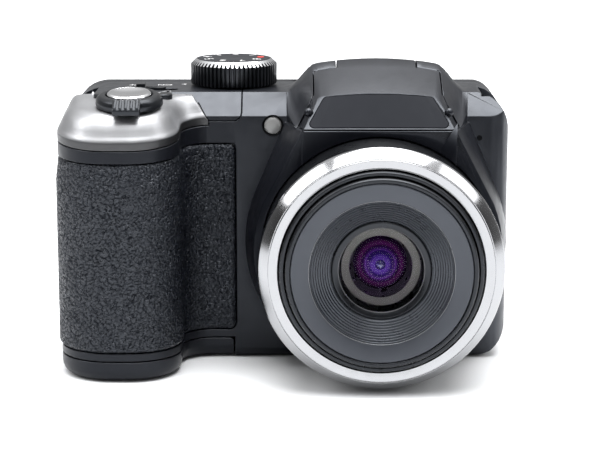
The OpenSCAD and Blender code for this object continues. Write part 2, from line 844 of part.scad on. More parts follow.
module flash_hinge_pins() {
    color("#8f9296") for (x = [-neck_w - 3.1, neck_w - 3]) translate([x, hinge_y, hinge_z])
        rotate([0, 90, 0]) cylinder(r = flash_pin_r, h = 6.1, $fn = 32);
}

module lens_sleeve() {
    color("#17181b") on_lens() {
        rotate_extrude() polygon([
            [sleeve_in, flange_f - 2.2], [sleeve_r, flange_f - 2.2], [sleeve_r, ring_f - 2.8],
            [outer_r + play, ring_f - 2.8], [outer_r + play, ring_f - 4.4], [sleeve_in, ring_f - 4.4]
        ]);
        intersection() {
            translate([0, 0, flange_f - 2.2]) difference() {
                cylinder(r = bore_r + 2.3, h = 2.2);
                translate([0, 0, -EPS]) cylinder(r = sleeve_r - 0.8, h = 3);
            }
            box([-FAR, 1.2 - bore_r, 0], [x_right - 4.6, bore_r, FAR]);
        }
    }
}

module lens_trim_ring() {
    color("#c8cbce") on_lens() rotate_extrude() polygon([
        [outer_r + 0.4, ring_f - 2.8], [outer_r + 0.4, ring_f - 0.2], [outer_r + 0.65, ring_f],
        [ring_r - 2.6, ring_f - 0.6], [ring_r - 2.3, ring_f - 0.7], [ring_r - 0.3, ring_f - 1.7],
        [ring_r, ring_f - 2], [ring_r, ring_f - 3.5], [sleeve_r + 0.1, ring_f - 3.5], [sleeve_r + 0.1, ring_f - 2.8]
    ]);
}

// Flat gear outline with trapezoid teeth between two tooth numbers, over a full root circle
module gear_shape(teeth, first, last, turn) {
    r = teeth * gear_m / 2;
    step = 360 / teeth;
    circle(r = r - 0.6 * gear_m * 2);
    for (i = [first:last]) rotate(turn + i * step) polygon([
        [r - 1.4 * gear_m, -0.78 * gear_m], [r, -0.58 * gear_m], [r + 0.75 * gear_m, -0.26 * gear_m],
        [r + 0.75 * gear_m, 0.26 * gear_m], [r, 0.58 * gear_m], [r - 1.4 * gear_m, 0.78 * gear_m]
    ]);
}

module drive_ring() {
    color("#d8cfae") on_lens() difference() {
        union() {
            translate([0, 0, base_f + 2.3]) cylinder(r = drive_out, h = ring_f - 5 - base_f - 2.3);
            translate([0, 0, base_f + 2.6]) linear_extrude(2.4)
                gear_shape(drive_teeth, -42, 4, pinion_at + 180 / drive_teeth);
        }
        translate([0, 0, base_f]) cylinder(r = drive_in, h = FAR);
    }
}

module zoom_pinion() {
    color("#d9d4c4") on_lens() rotate(pinion_at) translate([pinion_c, 0, base_f - 0.4]) {
        translate([0, 0, 3.1]) linear_extrude(2.2) gear_shape(pinion_teeth, 0, pinion_teeth - 1, 180);
        cylinder(r = 0.8, h = 3.4, $fn = 24);
    }
}

module zoom_motor() {
    color("#8b8f94") on_lens() rotate(pinion_at) translate([pinion_c, 0, -board_y]) difference() {
        union() {
            translate([0, 0, 1]) cylinder(r = 4.4, h = motor_l);
            cylinder(r = 1.6, h = 1.2, $fn = 32);
        }
        translate([0, 0, motor_l - 1]) cylinder(r = 0.86, h = 4, $fn = 24);
    }
}

module zoom_barrel_outer() {
    color("#1a1b1e") on_lens() rotate_extrude() polygon([
        [outer_r - barrel_t, outer_f - zoom_travel - barrel_hold], [outer_r, outer_f - zoom_travel - barrel_hold],
        [outer_r, outer_f - 0.4], [outer_r - 0.4, outer_f], [outer_r - barrel_t, outer_f]
    ]);
}

module zoom_barrel_inner() {
    color("#1d1e21") on_lens() rotate_extrude() polygon([
        [inner_r - barrel_t, inner_f - zoom_travel - barrel_hold], [inner_r, inner_f - zoom_travel - barrel_hold],
        [inner_r, inner_f - 0.5], [inner_r - 0.5, inner_f], [inner_r - barrel_t, inner_f]
    ]);
}

module front_baffle() {
    grooves = 6;
    pitch = 5.1 / grooves;
    color("#232427") on_lens() rotate_extrude() polygon(concat(
        [[baffle_r, ring_f - 6], [baffle_r, ring_f + 2], [17.3, ring_f + 1.4], [17.1, ring_f + 1.2]],
        [for (i = [0:grooves - 1]) each [
            [17.1 - i * pitch, ring_f + 1.2 - (i + 1) * 0.5],
            [17.1 - (i + 1) * pitch, ring_f + 1.2 - (i + 1) * 0.5]
        ]],
        [[glass_r + 1.35, ring_f - 2], [glass_r + 1.35, ring_f - 6]]
    ));
}

module front_retaining_ring() {
    color("#3b3d41") on_lens() rotate_extrude() polygon([
        [glass_r + 0.05, ring_f - 6], [glass_r + 1.3, ring_f - 6], [glass_r + 1.3, ring_f - 1.9],
        [glass_r + 0.9, ring_f - 1.6], [glass_r - 0.5, ring_f - 2.2], [glass_r - 0.5, ring_f - 2.5],
        [glass_r + 0.05, ring_f - 2.5]
    ]);
}

module front_lens() {
    sag = 2.2;
    ball = (glass_r * glass_r + sag * sag) / (2 * sag);
    color("#5a5f78") on_lens() rotate_extrude() polygon(concat(
        [[0, ring_f - 7]],
        [[glass_r, ring_f - 5.4]],
        [for (i = [0:12]) let (x = (glass_r - 0.6) * (1 - i / 12))
            [x, ring_f - 4.8 + sqrt(ball * ball - x * x) - ball + sag]]
    ));
}

module second_group_frame() {
    color("#1a1b1e") on_lens() translate([0, 0, ring_f - 17]) difference() {
        cylinder(r = baffle_r, h = 3.4);
        translate([0, 0, -EPS]) cylinder(r = 8, h = 2);
        translate([0, 0, -EPS]) cylinder(r = 7.4, h = 5);
    }
}

module second_lens() {
    color("#4c4a75") on_lens() translate([0, 0, ring_f - 17.6]) rotate_extrude() polygon(concat(
        [[0, 0], [7.95, 0.4], [7.95, 2.4], [7.35, 2.5]],
        [for (i = [0:8]) let (x = 7.35 * (1 - i / 8)) [x, 2.5 + 1.4 * (1 - pow(x / 7.35, 2))]]
    ));
}

module shutter_unit() {
    color("#202124") on_lens() translate([0, 0, face_f + 3.5]) difference() {
        cylinder(r = baffle_r, h = 4.6);
        translate([0, 0, -EPS]) cylinder(r = 5, h = 6);
        translate([0, 0, 1.4]) difference() {
            cylinder(r = 16, h = 1.2);
            cylinder(r = 9, h = 1.2);
        }
    }
}

module guide_rods() {
    color("#a9adb2") for (x = [-1, 1]) on_lens() translate([x * 9.4, 0, base_f + 0.6])
        cylinder(r = 0.7, h = 12, $fn = 32);
}

module focus_carriage() {
    color("#222326") on_lens() translate([0, 0, base_f + 2.4]) difference() {
        cylinder(r = 11.6, h = 2.4);
        translate([0, 0, -EPS]) cylinder(r = 5.4, h = 5);
        for (x = [-1, 1]) translate([x * 9.4, 0, -EPS]) cylinder(r = 0.77, h = 5, $fn = 32);
    }
}

module focus_lens() {
    color("#5f6488") on_lens() translate([0, 0, base_f + 2.6]) rotate_extrude() polygon(concat(
        [[0, -0.1], [5.35, 0.2], [5.35, 1.6]],
        [for (i = [1:6]) let (x = 5.35 * (1 - i / 6)) [x, 1.6 + 0.9 * (1 - pow(x / 5.35, 2))]]
    ));
}

module lens_base() {
    color("#3d4045") on_lens() intersection() {
        difference() {
            union() {
                translate([0, 0, base_f]) cylinder(r = bore_r + 2.1, h = 2);
                translate([0, 0, base_f]) cylinder(r = bore_r + 2.1, h = flange_f - 2.2 - base_f);
            }
            translate([0, 0, base_f + 2]) cylinder(r = drive_out + 1.8, h = FAR);
            translate([0, 0, base_f - EPS]) cylinder(r = 6, h = 5);
            rotate(pinion_at) translate([pinion_c, 0, base_f - EPS]) cylinder(r = 4.6, h = FAR);
            for (x = [-1, 1]) translate([x * 9.4, 0, base_f + 0.6]) cylinder(r = 0.72, h = 5, $fn = 32);
        }
        box([-FAR, 1.2 - bore_r, 0], [x_right - 4.6, bore_r, FAR]);
    }
}

module image_sensor() {
    color("#556070") on_lens() union() {
        box([-7, -6, base_f - 2.4], [7, 6, base_f]);
        box([-3.4, -2.6, base_f - 0.1], [3.4, 2.6, base_f + 0.6]);
    }
}

module main_board() {
    color("#1f5a3c") difference() {
        box([screen_x - screen_w / 2, board_y, 5], [x_right - 5, board_y + 1.2, body_h - 8]);
        for (z = [9, body_h - 12]) translate([x_right - 9, 0, z]) rotate([-90, 0, 0]) cylinder(r = 1.2, h = 40);
    }
}

module shutter_button() {
    color("#d3d6d9") on_shutter() rotate_extrude() polygon([
        [0, -3.4], [1.9, -3.4], [1.9, 2.1], [shutter_d / 2 - 0.3, 2.1], [shutter_d / 2, 2.4],
        [shutter_d / 2, 3.1], [shutter_d / 2 - 0.5, 3.5], [2.6, 3.35], [0, 3.25]
    ]);
}

module zoom_lever() {
    r = lever_d / 2;
    hole = shutter_d / 2 + play;
    color("#1c1d20") on_shutter() difference() {
        union() {
            rotate_extrude() polygon([
                [1.9 + play, -2.6], [3.98, -2.6], [3.98, 0.2], [r - 0.2, 0.2], [r, 0.5], [r, 1.5], [r - 0.35, 2.4],
                [r - 1.1, 2.95], [hole + 0.2, 3.1], [hole, 2.9], [hole, 0.9], [1.9 + play, 0.9]
            ]);
            translate([-3.25, 0, 0]) rotate([90, 0, 90]) linear_extrude(6.5) polygon([
                [-r - 2.6, 0.5], [-r - 2.3, 0.2], [-r + 1.6, 0.2], [-r + 1.6, 2.9], [-r + 0.4, 3.4], [-r - 2.6, 1.7]
            ]);
        }
        for (i = [-2:1]) translate([i * 1.25 + 0.45, -r - 3, 0]) rotate([-28, 0, 0]) translate([0, -1, 3.75])
            cube([0.35, 5, 1]);
    }
}

module mode_dial() {
    step = 360 / dial_teeth;
    color("#1a1b1e") translate([dial_x, dial_y, body_h]) difference() {
        union() {
            intersection() {
                translate([0, 0, play]) linear_extrude(dial_h) polygon([
                    for (i = [0:dial_teeth - 1], q = [[-0.36, 0], [-0.2, 0.5], [0.2, 0.5], [0.36, 0]])
                    let (a = (i + q[0]) * step, rr = dial_r - 0.5 + q[1])
                    [rr * cos(a), rr * sin(a)]
                ]);
                rotate_extrude() polygon([
                    [0, 0], [dial_r, 0], [dial_r, dial_h - 1.1], [dial_r - 1.1, dial_h + play], [0, dial_h + play]
                ]);
            }
            translate([0, 0, -5]) cylinder(r = dial_stem_r, h = 6);
        }
        translate([0, 0, dial_h + play - 0.7]) cylinder(r = dial_r - 1.7, h = 2);
    }
}

module dial_cap() {
    color("#4a4c50") translate([dial_x, dial_y, body_h + dial_h + play - 0.7]) rotate_extrude() polygon([
        [0, 0], [dial_r - 1.75, 0], [dial_r - 1.75, 0.7], [dial_r - 2, 0.9], [0, 0.9]
    ]);
}

module power_switch() {
    color("#2a2b2e") translate([switch_x - 1.25, switch_y, body_h]) {
        difference() {
            translate([0, 0, -wall - 0.5]) linear_extrude(wall + 1.1) slot_shape(8.4, 3.2);
            for (x = [0.4, 1.6, 2.8]) translate([x, 0, 0.7]) sphere(r = 0.45, $fn = 16);
        }
        box([-3.2, -1.4, 0], [-1, 1.4, 1.5]);
        translate([0, 0, -wall - play - 0.9]) linear_extrude(0.9) slot_shape(9.4, 5.4);
    }
}

// Round plunger in the top of the grip cap
module top_plunger(i) {
    translate([top_buttons[i][0], top_buttons[i][1], body_h - 3]) rotate_extrude() polygon([
        [0, 0], [2.6, 0], [2.6, 3.4], [2.3, 3.7], [0, 3.8]
    ]);
}

module exposure_button() {
    color("#2a2b2e") top_plunger(0);
}

module drive_button() {
    color("#2a2b2e") top_plunger(1);
}

module af_lamp() {
    color("#d9703a") translate([lamp_x, y_front + 2.4, lamp_z]) rotate([90, 0, 0]) rotate_extrude() polygon([
        [0, 0], [2.25, 0], [2.25, 2.3], [1.6, 2.65], [0.8, 2.8], [0, 2.85]
    ]);
}

module strap_pins() {
    color("#b4b7ba") for (x = strap_x) translate([x, y_front + 18.8, body_h - 4.2]) rotate([90, 0, 0])
        cylinder(r = strap_pin_r, h = 15.6, $fn = 32);
}

module screen_window() {
    color("#0c0d10") box([screen_x - screen_w / 2 + 0.1, y_back - 1.2, screen_z - screen_h / 2 + 0.1],
        [screen_x + screen_w / 2 - 0.1, y_back, screen_z + screen_h / 2 - 0.1]);
}

module screen_panel() {
    color("#3a4658") box([screen_x - screen_w / 2 + 1.6, y_back - 4.2, screen_z - screen_h / 2 + 1.6],
        [screen_x + screen_w / 2 - 1.6, y_back - 1.25, screen_z + screen_h / 2 - 1.6]);
}

// Round button of the back with a collar behind the wall
module back_plunger(i) {
    r = back_buttons[i][2];
    on_back(back_buttons[i][0], back_buttons[i][1]) rotate_extrude() polygon([
        [0, -wall - 1.3], [r + 0.9, -wall - 1.3], [r + 0.9, -wall - play], [r, -wall - play],
        [r, 0.5], [r - 0.3, 0.75], [0, 0.85]
    ]);
}

module movie_button() {
    color("#2a2b2e") back_plunger(0);
}

module menu_button() {
    color("#2a2b2e") back_plunger(1);
}

module play_button() {
    color("#2a2b2e") back_plunger(2);
}

module delete_button() {
    color("#2a2b2e") back_plunger(3);
}

module nav_pad() {
    color("#2f3134") on_back(pad_x, pad_z) rotate_extrude() polygon([
        [5.2 + play, -wall - 1.3], [pad_r + 0.9, -wall - 1.3], [pad_r + 0.9, -wall - play], [pad_r, -wall - play],
        [pad_r, 0.6], [pad_r - 0.4, 1], [5.9, 0.7], [5.2 + play, 0.5]
    ]);
}

module ok_button() {
    color("#26282b") on_back(pad_x, pad_z) rotate_extrude() polygon([
        [0, -wall - 1.3], [5.2, -wall - 1.3], [5.2, 0.7], [4.9, 0.95], [0, 0.8]
    ]);
}

module thumb_rest() {
    color("#1b1d22") difference() {
        thumb_shape(0, -0.6);
        for (z = [-7:2:7]) on_back(x_left + 15.5, body_h - 19 + z) translate([0, 0, 2.15])
            rotate([0, 90, 0]) cylinder(r = 0.55, h = 10, center = true, $fn = 16);
    }
}

module tripod_bush() {
    color("#9fa3a8") difference() {
        cylinder(r = bush_r, h = 7.4);
        translate([0, 0, -EPS]) cylinder(r = 3.175, h = 5.9 + EPS);
    }
}

module case_screws() {
    color("#5c5f63") at_screws() difference() {
        union() {
            translate([0, 0, -5.8]) cylinder(r = 0.8, h = 5, $fn = 24);
            translate([0, 0, -0.98]) cylinder(r = 1.7, h = 0.9, $fn = 32);
        }
        for (a = [0, 90]) rotate(a) translate([-1.1, -0.2, -0.5]) cube([2.2, 0.4, 1]);
    }
}

front_cover();
top_cover();
rear_cover();
grip_cap();
grip_rubber();
battery_door();
door_latch();
door_hinge_pin();
door_contacts();
battery_box();
battery_contacts();
battery_cells();
card_slot();
port_cover();
usb_socket();
flash_hood();
flash_front_plate();
flash_window();
flash_reflector();
flash_tube();
flash_hinge_pins();
lens_sleeve();
lens_trim_ring();
drive_ring();
zoom_pinion();
zoom_motor();
zoom_barrel_outer();
zoom_barrel_inner();
front_baffle();
front_retaining_ring();
front_lens();
second_group_frame();
second_lens();
shutter_unit();
guide_rods();
focus_carriage();
focus_lens();
lens_base();
image_sensor();
main_board();
shutter_button();
zoom_lever();
mode_dial();
dial_cap();
power_switch();
exposure_button();
drive_button();
af_lamp();
strap_pins();
screen_window();
screen_panel();
movie_button();
menu_button();
play_button();
delete_button();
nav_pad();
ok_button();
thumb_rest();
tripod_bush();
case_screws();
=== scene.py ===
"""Looks of a bridge camera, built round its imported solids. Sizes are in millimetres unless a name says otherwise."""

import logging
import math
from dataclasses import dataclass, field, replace
from enum import Enum

import bmesh
import bpy
import numpy as np
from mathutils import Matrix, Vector


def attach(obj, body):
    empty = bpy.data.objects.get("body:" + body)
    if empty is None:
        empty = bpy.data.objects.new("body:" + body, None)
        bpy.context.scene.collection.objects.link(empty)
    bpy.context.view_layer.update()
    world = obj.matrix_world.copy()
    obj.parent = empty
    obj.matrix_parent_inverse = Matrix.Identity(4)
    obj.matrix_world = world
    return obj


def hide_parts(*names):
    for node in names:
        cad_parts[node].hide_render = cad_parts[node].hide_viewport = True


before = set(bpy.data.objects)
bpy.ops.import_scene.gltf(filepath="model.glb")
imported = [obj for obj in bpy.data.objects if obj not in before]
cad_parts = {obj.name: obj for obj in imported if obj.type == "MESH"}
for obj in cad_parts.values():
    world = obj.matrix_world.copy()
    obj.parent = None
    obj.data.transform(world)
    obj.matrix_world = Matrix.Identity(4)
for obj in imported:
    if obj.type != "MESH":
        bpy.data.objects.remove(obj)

LOG = logging.getLogger("camera_looks")
MM = 0.001
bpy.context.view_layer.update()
Color = tuple[float, float, float]
Point = tuple[float, float, float]
Pair = tuple[float, float]
Socket = bpy.types.NodeSocket
FRONT: Point = (0, -1, 0)
REAR: Point = (0, 1, 0)
UP: Point = (0, 0, 1)
RIGHT: Point = (1, 0, 0)
LEFT: Point = (-1, 0, 0)


# Surfaces


@dataclass(frozen=True)
class Axis:
    """A place on the camera: an origin, the way out of the surface and the way across it.

    Args:
        origin: Point on the axis.
        out: Unit vector along the axis, away from the camera.
        side: Unit vector square to the axis, where turning angles start.
    """

    origin: Point
    out: Point
    side: Point

    def points(self, across: np.ndarray, up: np.ndarray, along: np.ndarray) -> np.ndarray:
        """Turns local coordinates into points of the camera.

        Args:
            across: Distances along side.
            up: Distances along out x side.
            along: Distances along out.

        Returns:
            Points as an array whose last axis is x, y, z.
        """
        out, side = np.array(self.out, float), np.array(self.side, float)
        lift = np.cross(out, side)
        parts = (across[..., None] * side, up[..., None] * lift, along[..., None] * out)
        return np.array(self.origin, float) + sum(parts)


def grid_quads(rows: int, cols: int, wrap_rows: bool = False, wrap_cols: bool = False) -> np.ndarray:
    """Quads between neighbours on a grid of points, where a wrapped direction also joins its last line to its first.

    Args:
        rows: Number of grid lines in the first direction.
        cols: Number of points on a line.
        wrap_rows: Whether the last line joins the first.
        wrap_cols: Whether each line is a ring.

    Returns:
        Index array with four columns.
    """
    i = np.arange(rows if wrap_rows else rows - 1)
    j = np.arange(cols if wrap_cols else cols - 1)
    a, b = np.meshgrid(i, j, indexing="ij")
    c, d = (a + 1) % rows, (b + 1) % cols
    return np.stack([a * cols + b, c * cols + b, c * cols + d, a * cols + d], -1).reshape(-1, 4)


def added(name: str, data: bpy.types.ID) -> bpy.types.Object:
    """Adds an object to the scene.

    Args:
        name: Object name.
        data: Mesh, curve, lamp or camera that it holds.

    Returns:
        The object, at the origin.
    """
    obj = bpy.data.objects.new(name, data)
    bpy.context.scene.collection.objects.link(obj)
    return obj


def settle(mesh: bpy.types.Mesh, smooth: bool, sharp_deg: float, merge_mm: float = 0.0001) -> None:
    """Merges doubled points, turns all faces outwards and sets the shading.

    Args:
        mesh: Mesh to change.
        smooth: Whether faces are shaded as one surface.
        sharp_deg: Angle past which an edge stays crisp.
        merge_mm: Distance under which two points are one.
    """
    bm = bmesh.new()
    bm.from_mesh(mesh)
    bmesh.ops.remove_doubles(bm, verts=bm.verts, dist=merge_mm * MM)
    bmesh.ops.recalc_face_normals(bm, faces=bm.faces)
    bm.to_mesh(mesh)
    bm.free()
    mesh.polygons.foreach_set("use_smooth", np.full(len(mesh.polygons), smooth))
    if smooth:
        mesh.set_sharp_from_angle(angle=math.radians(sharp_deg))
    mesh.update()


def surface(
    name: str, points: np.ndarray, quads: np.ndarray, sharp_deg: float = 40.0, relief: np.ndarray | None = None
) -> bpy.types.Object:
    """Makes an object from points in millimetres and quads.

    Args:
        name: Piece name.
        points: Points, whose last axis is x, y, z.
        quads: Index array with four columns.
        sharp_deg: Angle past which an edge stays crisp.
        relief: Height of the relief at each point from 0 to 1, kept for the finish.

    Returns:
        The object, at the origin.
    """
    mesh = bpy.data.meshes.new(name)
    mesh.from_pydata((points.reshape(-1, 3) * MM).tolist(), [], quads.tolist())
    if relief is not None:
        mesh.attributes.new("relief", "FLOAT", "POINT").data.foreach_set("value", relief.ravel())
    settle(mesh, True, sharp_deg)
    return added(name, mesh)


def soften(outline: list[Pair], radius: float, steps: int = 4) -> np.ndarray:
    """Rounds every corner of a closed outline by a quadratic curve whose middle control is the corner.

    Args:
        outline: Corners in order.
        radius: Distance from the corner at which the curve starts, at most 0.45 of either edge.
        steps: Points on a curve, less one.

    Returns:
        Points of the rounded outline.
    """
    p = np.array(outline, float)
    before, after = np.roll(p, 1, 0), np.roll(p, -1, 0)
    span_in = np.linalg.norm(before - p, axis=1, keepdims=True)
    span_out = np.linalg.norm(after - p, axis=1, keepdims=True)
    reach_in = np.minimum(radius, 0.45 * span_in)
    reach_out = np.minimum(radius, 0.45 * span_out)
    start = p + (before - p) / span_in * reach_in
    end = p + (after - p) / span_out * reach_out
    t = np.linspace(0, 1, steps + 1)[None, :, None]
    curve = (1 - t) ** 2 * start[:, None] + 2 * t * (1 - t) * p[:, None] + t**2 * end[:, None]
    return curve.reshape(-1, 2)


def lathe(
    name: str, axis: Axis, profile: np.ndarray, segments: int = 128, sharp_deg: float = 40.0
) -> bpy.types.Object:
    """Carries a closed profile of (radius, height) once round an axis: point = r cos a, r sin a, h.

    Args:
        name: Piece name.
        axis: Axis of the turn.
        profile: Closed outline of radius and height.
        segments: Steps in a full turn.
        sharp_deg: Angle past which an edge stays crisp.

    Returns:
        The object.
    """
    profile = np.asarray(profile, float)
    angle = np.linspace(0, 2 * math.pi, segments, endpoint=False)
    r, h = profile[:, 0][:, None], profile[:, 1][:, None]
    points = axis.points(r * np.cos(angle), r * np.sin(angle), h + 0 * angle)
    return surface(name, points, grid_quads(len(profile), segments, True, True), sharp_deg)


def distances(line: np.ndarray) -> np.ndarray:
    """Distances along a line of points from its start.

    Args:
        line: Points in order.

    Returns:
        One distance for each point.
    """
    return np.concatenate([[0], np.cumsum(np.linalg.norm(np.diff(line, axis=0), axis=1))])


def turned(
    name: str, axis: Axis, outline: list[Pair], rounding: float, segments: int, steps: int = 3, sharp_deg: float = 40.0
) -> bpy.types.Object:
    """Turns an outline with rounded corners about an axis. One that starts and ends on the axis stays closed there.

    Args:
        name: Piece name.
        axis: Axis of the turn.
        outline: Corners of radius and height.
        rounding: Distance from a corner at which its curve starts.
        segments: Steps in a full turn.
        steps: Points on a corner's curve, less one.
        sharp_deg: Angle past which an edge stays crisp.

    Returns:
        The object.
    """
    profile = soften(outline, rounding, steps)
    if outline[0][0] == 0 and outline[-1][0] == 0:
        profile[[0, -1], 0] = 0.0
    return lathe(name, axis, profile, segments, sharp_deg)


def loft(
    name: str, rings: np.ndarray, sharp_deg: float = 40.0, relief: np.ndarray | None = None
) -> bpy.types.Object:
    """Joins rings of equal count into a skin and closes both ends at the middle of the end rings.

    Args:
        name: Piece name.
        rings: Array of rings, points and coordinates.
        sharp_deg: Angle past which an edge stays crisp.
        relief: Height of the relief at each point from 0 to 1.

    Returns:
        The object.
    """
    ends = [np.repeat(rings[k].mean(0)[None], rings.shape[1], 0)[None] for k in (0, -1)]
    closed = np.concatenate([ends[0], rings, ends[1]])
    if relief is not None:
        relief = np.pad(relief, ((1, 1), (0, 0)), "edge")
    return surface(name, closed, grid_quads(len(closed), rings.shape[1], False, True), sharp_deg, relief)


def slot_outline(long: float, wide: float, steps: int = 12) -> np.ndarray:
    """Outline of a slot with round ends: two half circles a straight run apart.

    Args:
        long: Overall length.
        wide: Width.
        steps: Steps on each half circle.

    Returns:
        Points of the outline.
    """
    turn = np.linspace(-math.pi / 2, math.pi / 2, steps + 1)
    end = np.stack([np.cos(turn), np.sin(turn)], 1) * wide / 2
    return np.concatenate([end + [(long - wide) / 2, 0], -end - [(long - wide) / 2, 0]])


def value_noise(x: np.ndarray, y: np.ndarray, seed: int) -> np.ndarray:
    """Smooth noise from 0 to 1: random values on whole numbers, blended by a soft step between them.

    Args:
        x: First coordinate.
        y: Second coordinate.
        seed: Number that picks the random values.

    Returns:
        Noise of the same shape.
    """
    table = np.random.default_rng(seed).random((256, 256))
    i, j = np.floor(x).astype(int), np.floor(y).astype(int)
    u, v = x - i, y - j
    u, v = u * u * (3 - 2 * u), v * v * (3 - 2 * v)
    a, b = table[i % 256, j % 256], table[(i + 1) % 256, j % 256]
    c, d = table[i % 256, (j + 1) % 256], table[(i + 1) % 256, (j + 1) % 256]
    return (a * (1 - u) + b * u) * (1 - v) + (c * (1 - u) + d * u) * v


def cell_border(x: np.ndarray, y: np.ndarray, seed: int) -> np.ndarray:
    """Distance to the border between random cells: second nearest less nearest of one random point per unit square.

    Args:
        x: First coordinate.
        y: Second coordinate.
        seed: Number that picks the random points.

    Returns:
        Border distance, 0 on a border.
    """
    rng = np.random.default_rng(seed)
    px, py = rng.random((128, 128)), rng.random((128, 128))
    i, j = np.floor(x).astype(int), np.floor(y).astype(int)
    near = np.full(x.shape, 9.0)
    second = np.full(x.shape, 9.0)
    for di in (-1, 0, 1):
        for dj in (-1, 0, 1):
            a, b = (i + di) % 128, (j + dj) % 128
            d = np.hypot(i + di + px[a, b] - x, j + dj + py[a, b] - y)
            second = np.minimum(second, np.maximum(near, d))
            near = np.minimum(near, d)
    return second - near


def soft_step(value: np.ndarray, low: float, high: float) -> np.ndarray:
    """Rises from 0 at low to 1 at high by a cubic with level ends.

    Args:
        value: Values to map.
        low: Value at which the rise starts.
        high: Value at which it ends.

    Returns:
        Heights of the same shape.
    """
    t = np.clip((value - low) / (high - low), 0, 1)
    return t * t * (3 - 2 * t)


# Finishes

DRIFT_SIZE = 9.0
STREAK_SIZE = 2.6
PORE_SIZE = 0.12
WAVE_SIZE = 14.0
FOLD_WIDTH = 0.22
COAT_ROUGHNESS = 0.12
# Relief heights over which the painted crease shade turns into painted highlight.
CREASE_SPAN: Pair = (0.2, 0.95)
# Facing-up values over which the painted highlight on upturned faces grows.
CROWN_SPAN: Pair = (0.15, 0.6)
# Facing-up values over which the lacquer's painted shade gives way to its full colour.
UPRIGHT_SHADE_SPAN: Pair = (0.1, 0.3)
# Share of the plain reflection left in the painted shade round the lens.
FADED = 0.25
# Growth and x span of the painted highlight on the right side.
SHEEN = 1.6
SHEEN_SPAN: Pair = (21.0, 31.0)


class Grain(Enum):
    """Small relief of a finish."""

    SPARK = "spark"
    FLAKE = "flake"
    LEATHER = "leather"
    TURNED = "turned"
    BRUSHED = "brushed"
    SMOOTH = "smooth"


